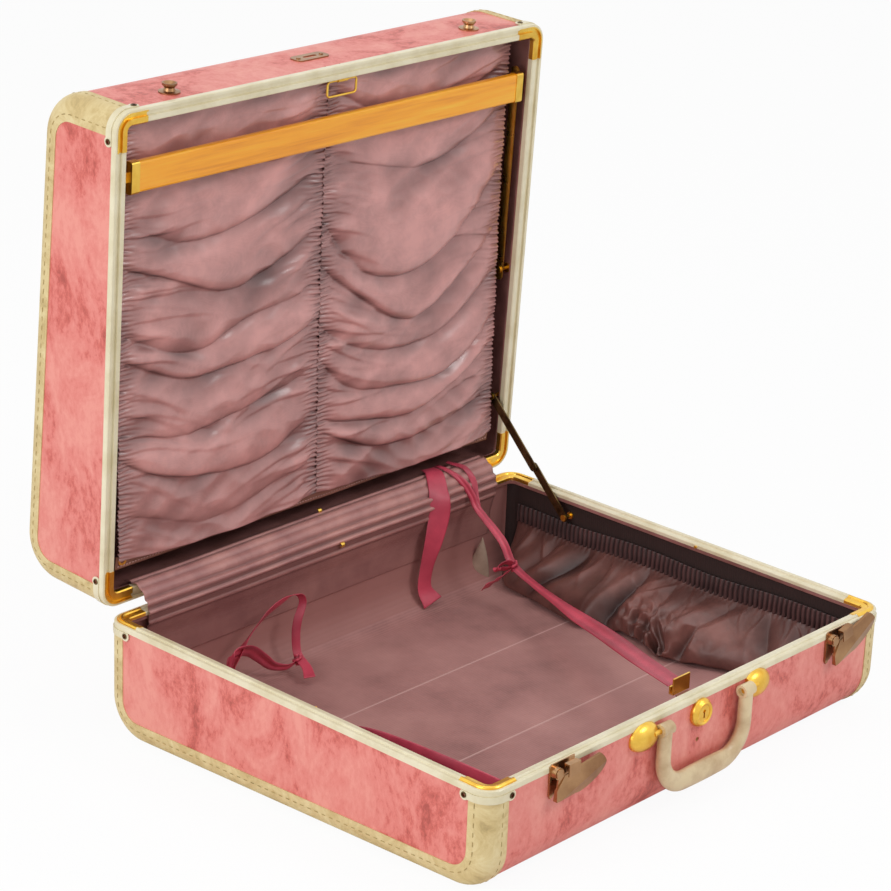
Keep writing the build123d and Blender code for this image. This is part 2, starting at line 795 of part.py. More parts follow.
# ---------------------------------------------------------------- lid hardware
with BuildPart() as strike_blank:
    # turned button: flange on the wall, waisted neck, dished head
    with BuildSketch(Plane.XZ):
        with BuildLine():
            Polyline(
                (0, 0), (strike_flange, 0), (strike_flange, strike_flange_sheet),
                (strike_neck + 1, strike_flange_sheet + 0.6), (strike_neck, strike_proud / 2),
                (strike_head, strike_proud - 1.8), (strike_head, strike_proud),
                (strike_head - strike_lip, strike_proud),
                (strike_neck - 1.6, strike_proud - strike_dish),
                (0, strike_proud - strike_dish), close=True,
            )
        make_face()
    revolve(axis=Axis.Z)
strike = Pos(strike_place, front_face, strike_rise) * (Rot(90, 0, 0) * strike_blank.part)
lid_strikes = Compound([strike, mirror(strike, about=Plane.YZ)])

with BuildPart() as lid_hasp:
    with BuildSketch(Plane.XZ.offset(-front_face)):
        with Locations((hasp_centre, hasp_rise)):
            RectangleRounded(hasp_width, hasp_height, 5)
            SlotOverall(16, 4, mode=Mode.SUBTRACT)
    extrude(amount=hasp_sheet)
    with Locations(
        (hasp_centre - 14, front_face - hasp_sheet, hasp_rise),
        (hasp_centre + 14, front_face - hasp_sheet, hasp_rise),
    ):
        Cylinder(2.0, 1.6, rotation=(90, 0, 0))

# hanger bar on two arms, folded up inside the lid
bar_mid_z = bar_inner_z + bar_thickness / 2
with BuildPart() as hanger_bar:
    with Locations((0, bar_centre_y, bar_mid_z)):
        Box(2 * bar_half_length, bar_height, bar_thickness)
    fillet(hanger_bar.edges().filter_by(Axis.X), 2.6)

with BuildPart() as cap_right:
    with Locations((bar_half_length + bar_cap_length / 2, bar_centre_y, bar_mid_z)):
        Box(bar_cap_length, bar_height + 1.2, bar_thickness + 1.2)
    fillet(cap_right.edges().filter_by(Axis.X), 2.4)
cap_part = cap_right.part
cap_tab_x = arm_outer_x - arm_sheet
cap_part = cap_part + Pos(
    (bar_half_length + cap_tab_x) / 2 + 2, bar_centre_y, arm_low_z + arm_width / 2 - 2
) * Box(cap_tab_x - bar_half_length - 4, arm_width, arm_width + 4)
bar_end_caps = Compound([cap_part, mirror(cap_part, about=Plane.YZ)])

arm_mid_z = arm_low_z + arm_width / 2
arm_length = arm_end_y - arm_top_y - arm_width
with BuildPart() as arm_right:
    with BuildSketch(Plane.YZ.offset(arm_outer_x - arm_sheet)):
        with Locations(((arm_end_y + arm_top_y) / 2, arm_mid_z)):
            SlotCenterToCenter(arm_length, arm_width)
        with Locations((arm_pivot_y, arm_mid_z)):
            Circle(pivot_radius + running_fit, mode=Mode.SUBTRACT)
    extrude(amount=arm_sheet)
bar_arms = Compound([arm_right.part, mirror(arm_right.part, about=Plane.YZ)])

with BuildPart() as pivot_right:
    shank = wall_inner_x - (arm_outer_x - arm_sheet - 0.2)
    with Locations((wall_inner_x - shank / 2, arm_pivot_y, arm_mid_z)):
        Cylinder(pivot_radius, shank, rotation=(0, 90, 0))
    with Locations((wall_inner_x - shank - 0.6, arm_pivot_y, arm_mid_z)):
        Cylinder(pivot_head_radius, 1.2, rotation=(0, 90, 0))
    with Locations((wall_inner_x - 0.6, arm_pivot_y, arm_mid_z)):
        Cylinder(5.0, 1.2, rotation=(0, 90, 0))
bar_pivots = Compound([pivot_right.part, mirror(pivot_right.part, about=Plane.YZ)])

# wire loop in its clip, on the lid's front welt
with BuildSketch(Plane.XY.offset(loop_axis_z)) as loop_outline:
    with Locations((loop_centre, loop_axis_y + loop_drop / 2)):
        RectangleRounded(loop_width, loop_drop, 3)
loop_path = loop_outline.sketch.faces()[0].outer_wire()
with BuildPart() as wire_loop:
    with BuildSketch(Plane(origin=loop_path @ 0, z_dir=loop_path % 0)):
        Circle(loop_wire)
    sweep(path=loop_path)

welt_face = -(half_depth - rim_width + 0.3)
with BuildPart() as loop_clip:
    with Locations((loop_centre, loop_axis_y, loop_axis_z)):
        Cylinder(loop_wire + 0.9, loop_clip_length, rotation=(0, 90, 0))
    with Locations((loop_centre, welt_face + 0.9, loop_axis_z)):
        Box(loop_clip_length, 1.8, 2.4)
    with Locations((loop_centre, loop_axis_y, loop_axis_z)):
        Cylinder(
            loop_wire + running_fit, loop_clip_length + 2, rotation=(0, 90, 0),
            mode=Mode.SUBTRACT,
        )

# ---------------------------------------------------------------- lid stay, right-hand side
rest_turn = math.radians(lid_open_angle)
lid_y = stay_lid_y - hinge_y
pin_y = hinge_y + lid_y * math.cos(rest_turn) + stay_lid_z * math.sin(rest_turn)
pin_z = -lid_y * math.sin(rest_turn) + stay_lid_z * math.cos(rest_turn)
stay_angle = math.atan2(pin_z - stay_base_z, pin_y - stay_base_y)
stay_span = math.hypot(pin_y - stay_base_y, pin_z - stay_base_z)
stay_upper_length = stay_span - stay_lower_length

lower = stay_link(stay_lower_length, stay_lower_x)
lower = lower - Pos(stay_lower_x, 0, 0) * Cylinder(
    pivot_radius + running_fit, 10, rotation=(0, 90, 0)
)
stay_lower_link = Pos(0, stay_base_y, stay_base_z) * (
    Rot(math.degrees(stay_angle), 0, 0) * lower
)
upper = stay_link(stay_upper_length, stay_upper_x)
upper = upper - Pos(stay_upper_x, 0, 0) * Cylinder(
    pivot_radius + running_fit, 10, rotation=(0, 90, 0)
)
elbow_head = Pos(stay_upper_x - 0.5, stay_upper_length, 0) * Cylinder(
    3.0, 1.0, rotation=(0, 90, 0)
)
stay_upper_link = Pos(0, pin_y, pin_z) * (
    Rot(math.degrees(stay_angle) + 180, 0, 0) * (upper + elbow_head)
)


def stay_stud(centre_y, centre_z, link_x, flange):
    # stud on a side wall's lining, with a flange at the wall and a head inside the link
    length = wall_inner_x - (link_x - 0.2)
    with BuildPart() as stud:
        with Locations((wall_inner_x - length / 2, centre_y, centre_z)):
            Cylinder(pivot_radius, length, rotation=(0, 90, 0))
        with Locations((wall_inner_x - length - 0.5, centre_y, centre_z)):
            Cylinder(3.2, 1.0, rotation=(0, 90, 0))
        with Locations((wall_inner_x - 0.6, centre_y, centre_z)):
            Cylinder(flange, 1.2, rotation=(0, 90, 0))
    return stud.part


stay_base_pivot = stay_stud(stay_base_y, stay_base_z, stay_lower_x, 3.6)
stay_lid_pivot = stay_stud(stay_lid_y, stay_lid_z, stay_upper_x, 1.9 + pivot_radius / 4)

# ---------------------------------------------------------------- soft pieces of the lid
hem_top_y = curtain_profile[3][0]
hem_z = curtain_profile[3][1]


def curtain(start_x, end_x):
    points = [(y, z) for y, z in curtain_profile]
    back = [(y, z + curtain_sheet) for y, z in reversed(curtain_profile)]
    with BuildPart() as panel:
        with BuildSketch(Plane.YZ.offset(start_x)):
            with BuildLine():
                Polyline(*points, *back, close=True)
            make_face()
        extrude(amount=end_x - start_x)
    return panel.part


curtain_left = curtain(-curtain_half, -curtain_split)
curtain_right = curtain(curtain_split, curtain_half)

with BuildPart() as curtain_hem:
    with Locations((0, hem_top_y + hem_height / 2 + 0.3, hem_z + curtain_sheet / 2)):
        Box(2 * curtain_half, hem_height, curtain_sheet)
    with Locations(
        (-curtain_half + 8, hem_top_y + hem_height / 2 + 0.3, hem_z),
        (curtain_half - 8, hem_top_y + hem_height / 2 + 0.3, hem_z),
    ):
        Cylinder(eyelet_hole + 0.5, 10, mode=Mode.SUBTRACT)

with BuildPart() as eyelet:
    Cylinder(eyelet_hole + 0.5, curtain_sheet)
    with Locations((0, 0, -curtain_sheet / 2 - 0.4)):
        Cylinder(eyelet_radius, 0.8)
    Cylinder(eyelet_hole, 10, mode=Mode.SUBTRACT)
eyelet_z = hem_z + curtain_sheet / 2
eyelet_y = hem_top_y + hem_height / 2 + 0.3
curtain_eyelets = Compound(
    [Pos(side * (curtain_half - 8), eyelet_y, eyelet_z) * eyelet.part for side in (-1, 1)]
)

# ---------------------------------------------------------------- soft pieces of the base
floor_z = inner_inset + pouch_gap
pocket_x = wall_inner_x - pouch_gap
pocket_length = pocket_rear - pocket_front
with BuildPart() as side_pocket_elastic:
    with Locations(
        (pocket_x - elastic_thickness / 2, (pocket_front + pocket_rear) / 2,
         pocket_top_z - elastic_height / 2)
    ):
        Box(elastic_thickness, pocket_length, elastic_height)

pouch_top = pocket_top_z - elastic_height - 0.3
with BuildPart() as side_pocket:
    with BuildSketch(Plane.XZ.offset(-pocket_rear)):
        with BuildLine():
            Polyline(
                (pocket_x, pouch_top), (pocket_x - 3, pouch_top), (pocket_x - 12, 50),
                (pocket_x - 40, 30), (pouch_reach + 14, 20), (pouch_reach, 12),
                (pouch_reach, floor_z), (pocket_x - 34.5, floor_z), (pocket_x - 1, 38),
                (pocket_x, 44), close=True,
            )
        make_face()
    extrude(amount=pocket_length)
room = shell_block(inner_inset + pouch_gap, 0).moved(settle)
side_pocket_part = side_pocket.part & room


def beside(points, distance):
    # the bent line moved sideways, to the left of its direction
    moved = []
    for index, (y, z) in enumerate(points):
        before = points[max(index - 1, 0)]
        after = points[min(index + 1, len(points) - 1)]
        run = math.hypot(after[0] - before[0], after[1] - before[1])
        side_y = -(after[1] - before[1]) / run * distance
        side_z = (after[0] - before[0]) / run * distance
        moved.append((y + side_y, z + side_z))
    return moved


def strip_outline(points, sheet):
    # both sides of a bent strip, half the sheet away from its middle line
    return beside(points, sheet / 2) + beside(points, -sheet / 2)[::-1]


with BuildPart() as hinge_gusset:
    with BuildSketch(Plane.YZ.offset(-gusset_half)):
        with BuildLine():
            Polyline(*strip_outline(gusset_profile, gusset_sheet), close=True)
        make_face()
    extrude(amount=2 * gusset_half)

with BuildPart() as base_wall_studs:
    for side in (-1, 1):
        with Locations((side * (half_width - rim_width - 0.8), -20, -3.6)):
            Cylinder(1.4, 1.6, rotation=(0, 90, 0))

# ---------------------------------------------------------------- ribbons
def band_between(points, width, flat):
    # chain of thin flat links through the points; "flat" is the direction of the width
    parts = []
    for first, second in zip(points[:-1], points[1:]):
        along = Vector(*second) - Vector(*first)
        plane = Plane(origin=first, x_dir=flat, z_dir=along)
        with BuildPart(plane) as link:
            with BuildSketch(plane):
                Rectangle(width, ribbon_sheet)
            extrude(amount=along.length + 0.4)
        parts.append(link.part)
    whole = parts[0]
    for part in parts[1:]:
        whole = whole + part
    return whole


clip_y = -(half_depth - clip_setback)

# both rear ribbons come from under the lid's curtain and lie on the gusset
over_gusset = beside(gusset_profile, -(gusset_sheet + ribbon_sheet) / 2 - ribbon_gap)
rear_hang = half_depth - 17
rear_places = [
    (x, y, z) for x, (y, z) in zip((160, 158, 153, 147, 144, 142, 139), over_gusset)
]
ribbon_rear = band_between(
    rear_places + [(134, rear_hang, -33), (126, rear_hang + 1, -66), (125, rear_hang - 5, -88)],
    ribbon_width, (1, 0, 0),
)
knot = (192, 150, -60)
long_places = [(x, y, z) for x, (y, z) in zip((180, 181, 183, 185, 186), over_gusset)]
ribbon_long = band_between(
    long_places + [(187, rear_hang - 5, -3), (187, rear_hang - 9, -14), (190, 168, -38), knot,
                   (184, 110, -69)], 5.0, (0.9, 0.1, 0),
)
ribbon_long = ribbon_long + band_between(
    ((184, 110, -69), (157, 50, -63), (97, -60, -43), (clip_x + 10, clip_y + 12, clip_z - 7)),
    14.0, (0.9, -0.44, 0),
)
ribbon_long = ribbon_long + Pos(*knot) * Sphere(6.5)
loop_rear = half_depth - 30
ribbon_loop = band_between(
    ((-139, loop_rear, -78), (-120, loop_rear, -56), (-99, loop_rear, -38), (-56, loop_rear, -32),
     (-60, loop_rear, -60), (-66, loop_rear - 6, -86)), 12.0, (0, 1, 0),
)
ribbon_loop = ribbon_loop + band_between(
    ((-66, loop_rear - 6, -86), (-86, 162, -96), (-107, 143, -98.6)), 9.0, (0, 0, 1)
)
front_run = -(wall_inner_x - 21)
sewn_x = -(wall_inner_x - ribbon_sheet / 2 - ribbon_gap)
ribbon_front = band_between(
    ((sewn_x + 0.4, 6, -32), (sewn_x + 0.4, -6, -30), (front_run - 1, -40, -20), (front_run, -90, -14),
     (front_run + 1, -150, -12), (front_run + 7, 23 - half_depth, -15)), 14.0, (0, 0, 1),
)

with BuildPart() as strap_clip:
    with Locations((clip_x, clip_y, clip_z)):
        Box(clip_width, 1.6, 15)
        with Locations((0, 3.4, -4)):
            Box(clip_width, 1.6, 7)
        with Locations((0, 1.7, -6.9)):
            Box(clip_width, 4.0, 1.4)
tab_end_y = clip_y - 0.8
with BuildPart() as clip_tab:
    with Locations((clip_x, (tab_end_y - wall_inner_y) / 2, clip_z - 8.5)):
        Box(16, wall_inner_y + tab_end_y - 0.2, 1.2)

# ---------------------------------------------------------------- lid shell pieces
flip = Plane.XY
lid_shell_part = mirror(layer(board_inset, lining_inset, lid_board_top), about=flip)
lid_cover_blank = mirror(layer(cover_inset, board_inset, lid_board_top), about=flip)
lid_holes = Pos(-18, front_face, 8.6) * Cylinder(1.0, 6, rotation=(90, 0, 0))
lid_holes = lid_holes + Pos(0, front_face, 8.6) * Cylinder(1.0, 6, rotation=(90, 0, 0))
lid_cover_part = lid_cover_blank - lid_holes
lid_shell_part = lid_shell_part - lid_holes
lid_lining_part = mirror(layer(lining_inset, inner_inset, lid_board_top), about=flip)

# ---------------------------------------------------------------- writing the pieces
base_pieces = {
    "base_shell": base_shell.part,
    "base_cover": base_cover_part,
    "base_lining": base_lining.part,
    "base_binding_left": base_binding_left,
    "base_binding_right": base_binding_right,
    "base_rim": base_rim.part,
    "base_lining_welt": base_lining_welt.part,
    "base_corner_caps": base_corner_caps,
    "base_corner_guards": base_corner_guards,
    "base_corner_rivets": base_corner_rivets,
    "base_hinge_leaves": base_hinge_leaves,
    "hinge_pins": hinge_pins,
    "lock_bezel": lock_bezel_part,
    "lock_cylinder": lock_cylinder.part,
    "handle": handle_part,
    "handle_brackets": handle_brackets,
    "handle_pins": handle_pins,
    "latch_plate_left": latch_plate(latch_places[0]),
    "latch_plate_right": latch_plate(latch_places[1]),
    "latch_pins": Compound([latch_pin(place) for place in latch_places]),
    "latch_leaf_left": latch_leaf(latch_places[0], latch_leaf_rest[0]),
    "latch_leaf_right": latch_leaf(latch_places[1], latch_leaf_rest[1]),
    "stay_lower_link": stay_lower_link,
    "stay_upper_link": stay_upper_link,
    "stay_base_pivot": stay_base_pivot,
    "hinge_gusset": hinge_gusset.part,
    "base_wall_studs": base_wall_studs.part,
    "ribbon_rear": ribbon_rear,
    "ribbon_long": ribbon_long,
    "ribbon_loop": ribbon_loop,
    "ribbon_front": ribbon_front,
    "strap_clip": strap_clip.part,
    "clip_tab": clip_tab.part,
}
lid_pieces = {
    "lid_shell": lid_shell_part,
    "lid_cover": lid_cover_part,
    "lid_lining": lid_lining_part,
    "lid_binding_left": mirror(base_binding_left, about=flip),
    "lid_binding_right": mirror(base_binding_right, about=flip),
    "lid_rim": lid_rim.part,
    "lid_lining_welt": lid_lining_welt.part,
    "lid_corner_caps": lid_corner_caps,
    "lid_corner_guards": mirror(base_corner_guards, about=flip),
    "lid_corner_rivets": mirror(base_corner_rivets, about=flip),
    "lid_hinge_leaves": lid_hinge_leaves,
    "lid_strikes": lid_strikes,
    "lid_hasp": lid_hasp.part,
    "hanger_bar": hanger_bar.part,
    "bar_end_caps": bar_end_caps,
    "bar_arms": bar_arms,
    "bar_pivots": bar_pivots,
    "wire_loop": wire_loop.part,
    "loop_clip": loop_clip.part,
    "stay_lid_pivot": stay_lid_pivot,
    "curtain_left": curtain_left,
    "curtain_right": curtain_right,
    "curtain_hem": curtain_hem.part,
    "curtain_eyelets": curtain_eyelets,
}
floor_pieces = {
    "side_pocket": side_pocket_part,
    "side_pocket_elastic": side_pocket_elastic.part,
}
for name, part in base_pieces.items():
    save(part, name, settle)
for name, part in lid_pieces.items():
    save(part, name, lid_rest)
for name, part in floor_pieces.items():
    save(part, name, as_drawn)
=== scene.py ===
import math

import bpy
import numpy as np
from mathutils import Matrix, Vector


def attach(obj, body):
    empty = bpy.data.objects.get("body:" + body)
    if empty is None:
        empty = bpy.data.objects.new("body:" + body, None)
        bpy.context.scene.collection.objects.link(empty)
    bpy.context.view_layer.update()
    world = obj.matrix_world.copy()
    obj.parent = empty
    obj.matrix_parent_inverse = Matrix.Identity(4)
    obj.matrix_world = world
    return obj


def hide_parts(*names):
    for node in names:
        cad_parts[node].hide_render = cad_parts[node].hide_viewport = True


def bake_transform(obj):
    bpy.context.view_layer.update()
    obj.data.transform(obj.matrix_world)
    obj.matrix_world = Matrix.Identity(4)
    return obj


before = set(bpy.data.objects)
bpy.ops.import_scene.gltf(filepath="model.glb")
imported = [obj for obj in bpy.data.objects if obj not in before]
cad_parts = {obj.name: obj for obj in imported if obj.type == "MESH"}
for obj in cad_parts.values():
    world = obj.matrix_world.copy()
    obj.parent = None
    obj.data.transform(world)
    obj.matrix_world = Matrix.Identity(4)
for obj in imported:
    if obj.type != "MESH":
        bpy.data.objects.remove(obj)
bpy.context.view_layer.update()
print("frame loaded", len(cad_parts), "nodes")

# ---- the case's own frame: mouth plane at 0, shut, in millimetres ----
case = {
    "width": 533.0, "depth": 452.0, "frontHeight": 97.0, "rearHeight": 113.0,
    "profileCorner": 40.0, "rim": 13.0, "hingeY": 230.0, "openAngle": 87.5,
}
meanHeight = (case["frontHeight"] + case["rearHeight"]) / 2
tilt = math.atan((case["rearHeight"] - case["frontHeight"]) / case["depth"])
openTurn = math.radians(case["openAngle"])
rng = np.random.default_rng(21)


def baseToWorld(points):
    # turns the base by its tilt so that the big face lies on the floor; mm to metres
    p = np.asarray(points, dtype=float)
    y = np.cos(tilt) * p[..., 1] - np.sin(tilt) * (p[..., 2] + meanHeight)
    z = np.sin(tilt) * p[..., 1] + np.cos(tilt) * (p[..., 2] + meanHeight)
    return np.stack([p[..., 0], y, z], axis=-1) / 1000


def lidToWorld(points):
    # swings the shut lid open about the hinge line, then places it as the base
    p = np.asarray(points, dtype=float)
    y = p[..., 1] - case["hingeY"]
    openY = np.cos(openTurn) * y + np.sin(openTurn) * p[..., 2] + case["hingeY"]
    openZ = -np.sin(openTurn) * y + np.cos(openTurn) * p[..., 2]
    return baseToWorld(np.stack([p[..., 0], openY, openZ], axis=-1))


# ---- small tools ----
def hexColour(code):
    parts = [int(code[i:i + 2], 16) / 255 for i in (1, 3, 5)]
    linear = [p / 12.92 if p <= 0.04045 else ((p + 0.055) / 1.055) ** 2.4 for p in parts]
    return (*linear, 1.0)


def setInputs(tree, node, inputs):
    # each input takes a value or another node's output
    for key, value in inputs.items():
        if isinstance(value, bpy.types.NodeSocket):
            tree.links.new(value, node.inputs[key])
        else:
            node.inputs[key].default_value = value


def addNode(tree, kind, inputs=None, stops=None, **settings):
    node = tree.nodes.new("ShaderNode" + kind)
    for key, value in settings.items():
        setattr(node, key, value)
    setInputs(tree, node, inputs or {})
    if stops:
        elements = node.color_ramp.elements
        while len(elements) < len(stops):
            elements.new(0.5)
        for element, (place, colour) in zip(elements, stops):
            element.position = place
            element.color = hexColour(colour)
    return node


def newMaterial(name):
    material = bpy.data.materials.new(name)
    material.use_nodes = True
    tree = material.node_tree
    return material, tree, tree.nodes["Principled BSDF"]


def gridMesh(name, grid, uv=None, foldShading=None, wrapColumns=False):
    # quads over a rows x columns array of points in metres, with the grid's own UV and its painted fold shading
    rows, columns = grid.shape[:2]
    index = np.arange(rows * columns).reshape(rows, columns)
    if wrapColumns:
        index = np.concatenate([index, index[:, :1]], axis=1)
    a, b = index[:-1, :-1], index[:-1, 1:]
    c, d = index[1:, 1:], index[1:, :-1]
    faces = np.stack([a, b, c, d], axis=-1).reshape(-1, 4)
    mesh = bpy.data.meshes.new(name)
    mesh.vertices.add(rows * columns)
    mesh.vertices.foreach_set("co", grid.reshape(-1).astype(np.float32))
    mesh.loops.add(faces.size)
    mesh.loops.foreach_set("vertex_index", faces.reshape(-1).astype(np.int32))
    mesh.polygons.add(len(faces))
    mesh.polygons.foreach_set("loop_start", np.arange(0, faces.size, 4, dtype=np.int32))
    mesh.update(calc_edges=True)
    if uv is not None:
        layer = mesh.uv_layers.new(name="cloth")
        layer.data.foreach_set("uv", uv.reshape(-1, 2)[faces.reshape(-1)].reshape(-1).astype(np.float32))
    if foldShading is not None:
        mark = mesh.attributes.new("foldShading", "FLOAT", "POINT")
        mark.data.foreach_set("value", np.clip(foldShading, 0, 1).reshape(-1).astype(np.float32))
    mesh.polygons.foreach_set("use_smooth", np.ones(len(faces), dtype=bool))
    mesh.validate()
    return mesh


def addPiece(name, mesh, material, body, replaced=(), thickness=0.0, offset=0.0):
    piece = bpy.data.objects.new(name, mesh)
    bpy.context.scene.collection.objects.link(piece)
    mesh.materials.append(material)
    if thickness:
        solid = piece.modifiers.new("thickness", "SOLIDIFY")
        solid.thickness = thickness / 1000
        solid.offset = offset
    if body:
        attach(piece, body)
    if replaced:
        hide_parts(*replaced)
    return piece


def clothArea(piece):
    return sum(face.area for face in piece.data.polygons)


def waves(a, b, seed, count=7, low=0.4, high=1.6):
    # smooth wandering over two parameters: a few sines of mixed direction, summed
    local = np.random.default_rng(seed)
    total = np.zeros(np.broadcast(a, b).shape)
    for _ in range(count):
        ka, kb = local.uniform(low, high, 2) * local.choice([-1, 1], 2)
        total = total + np.sin(ka * a + kb * b + local.uniform(0, 2 * np.pi))
    return total / math.sqrt(count)


def skewRidge(distance, above, below):
    # a fold's height across it: slow on one side, steep on the other
    width = np.where(distance < 0, above, below)
    return np.exp(-(distance / width) ** 2)


def alongPath(points, count):
    # smooth curve through the points: Catmull-Rom, evenly spaced by length
    p = np.asarray(points, dtype=float)
    p = np.concatenate([2 * p[:1] - p[1:2], p, 2 * p[-1:] - p[-2:-1]])
    t = np.linspace(0, 1, 24, endpoint=False)[:, None]
    parts = []
    for i in range(len(p) - 3):
        a, b, c, d = p[i:i + 4]
        parts.append(0.5 * ((2 * b) + (c - a) * t + (2 * a - 5 * b + 4 * c - d) * t ** 2
                            + (3 * b - a - 3 * c + d) * t ** 3))
    line = np.concatenate(parts + [p[-2:-1]])
    steps = np.concatenate([[0], np.cumsum(np.linalg.norm(np.diff(line[:, :3], axis=0), axis=1))])
    wanted = np.linspace(0, steps[-1], count)
    return np.stack([np.interp(wanted, steps, line[:, k]) for k in range(line.shape[1])], axis=1)


# ---- materials ----
def makeMarbledVinyl(name):
    # calendered vinyl on cloth, printed in marble: coral clouds with speckled edges, a low satin shine
    look = {"deep": "#B4544C", "rose": "#D66C62", "coral": "#E5837A", "pale": "#EF9B8F",
            "cloud": 19.0, "speckle": 210.0, "speckleShare": 0.34, "drift": 4.5, "driftShare": 0.22,
            "stretch": (1.0, 1.0, 0.62), "grain": 1100.0, "roughness": 0.42}
    material, tree, shader = newMaterial(name)
    place = addNode(tree, "TexCoord").outputs["Object"]
    mapped = addNode(tree, "Mapping", {"Scale": look["stretch"], "Vector": place}).outputs["Vector"]
    cloud = addNode(tree, "TexNoise",
                    {"Scale": look["cloud"], "Detail": 9.0, "Roughness": 0.68, "Distortion": 0.5,
                     "Vector": mapped})
    speckle = addNode(tree, "TexNoise",
                      {"Scale": look["speckle"], "Detail": 4.0, "Roughness": 0.75, "Vector": mapped})
    drift = addNode(tree, "TexNoise", {"Scale": look["drift"], "Detail": 2.0, "Vector": place})
    fine = addNode(tree, "Math", {0: speckle.outputs["Fac"], 1: look["speckleShare"]}, operation="MULTIPLY")
    wide = addNode(tree, "Math", {0: drift.outputs["Fac"], 1: look["driftShare"]}, operation="MULTIPLY")
    level = addNode(tree, "Math", {0: cloud.outputs["Fac"], 1: fine.outputs[0]}, operation="ADD")
    level = addNode(tree, "Math", {0: level.outputs[0], 1: wide.outputs[0]}, operation="ADD")
    colour = addNode(tree, "ValToRGB", {"Fac": level.outputs[0]},
                     stops=[(0.60, look["deep"]), (0.68, look["rose"]), (0.745, look["coral"]),
                            (0.90, look["pale"])])
    # embossed grain about 0.9 mm across
    grain = addNode(tree, "TexNoise", {"Scale": look["grain"], "Detail": 3.0, "Vector": place})
    bump = addNode(tree, "Bump", {"Strength": 0.16, "Distance": 0.0004, "Height": grain.outputs["Fac"]})
    setInputs(tree, shader, {"Base Color": colour.outputs["Color"], "Normal": bump.outputs["Normal"],
                             "Roughness": look["roughness"], "Specular IOR Level": 0.4})
    return material


def makeLeathercloth(name):
    # coated leathercloth, gone yellow and grubby along its folds
    material, tree, shader = newMaterial(name)
    place = addNode(tree, "TexCoord").outputs["Object"]
    stain = addNode(tree, "TexNoise",
                    {"Scale": 38.0, "Detail": 8.0, "Roughness": 0.72, "Distortion": 0.8, "Vector": place})
    colour = addNode(tree, "ValToRGB", {"Fac": stain.outputs["Fac"]},
                     stops=[(0.26, "#A58E5F"), (0.42, "#D0B77F"), (0.56, "#E0CB96"), (0.75, "#EEE0B2")])
    grain = addNode(tree, "TexVoronoi", {"Scale": 620.0, "Vector": place})
    wear = addNode(tree, "TexNoise", {"Scale": 160.0, "Detail": 4.0, "Vector": place})
    height = addNode(tree, "Math", {0: grain.outputs["Distance"], 1: wear.outputs["Fac"]}, operation="ADD")
    bump = addNode(tree, "Bump", {"Strength": 0.22, "Distance": 0.0004, "Height": height.outputs[0]})
    setInputs(tree, shader, {"Base Color": colour.outputs["Color"], "Normal": bump.outputs["Normal"],
                             "Roughness": 0.5})
    return material


def makeEnamel(name, light, dull, roughness):
    # stoved enamel on rolled steel: smooth, slightly uneven in tone, rubbed in places
    material, tree, shader = newMaterial(name)
    place = addNode(tree, "TexCoord").outputs["Object"]
    tone = addNode(tree, "TexNoise", {"Scale": 30.0, "Detail": 5.0, "Roughness": 0.6, "Vector": place})
    colour = addNode(tree, "ValToRGB", {"Fac": tone.outputs["Fac"]}, stops=[(0.32, dull), (0.58, light)])
    fine = addNode(tree, "TexNoise", {"Scale": 260.0, "Detail": 2.0, "Vector": place})
    bump = addNode(tree, "Bump", {"Strength": 0.06, "Distance": 0.0004, "Height": fine.outputs["Fac"]})
    setInputs(tree, shader, {"Base Color": colour.outputs["Color"], "Normal": bump.outputs["Normal"],
                             "Roughness": roughness, "Coat Weight": 0.25, "Coat Roughness": 0.2})
    return material


def makeMetal(name, bright, dark, roughness, spread, patch):
    # stamped sheet metal: polished by handling, browned where it is not touched
    material, tree, shader = newMaterial(name)
    place = addNode(tree, "TexCoord").outputs["Object"]
    tarnish = addNode(tree, "TexNoise", {"Scale": patch, "Detail": 6.0, "Roughness": 0.6, "Vector": place})
    colour = addNode(tree, "ValToRGB", {"Fac": tarnish.outputs["Fac"]},
                     stops=[(0.5 - spread, dark), (0.5 + spread, bright)])
    rough = addNode(tree, "MapRange",
                    {"To Min": roughness * 1.7, "To Max": roughness * 0.8, "Value": tarnish.outputs["Fac"]})
    scratch = addNode(tree, "TexNoise", {"Scale": 700.0, "Detail": 2.0, "Vector": place})
    bump = addNode(tree, "Bump", {"Strength": 0.05, "Distance": 0.0003, "Height": scratch.outputs["Fac"]})
    setInputs(tree, shader, {"Base Color": colour.outputs["Color"], "Roughness": rough.outputs["Result"],
                             "Normal": bump.outputs["Normal"], "Metallic": 1.0})
    return material


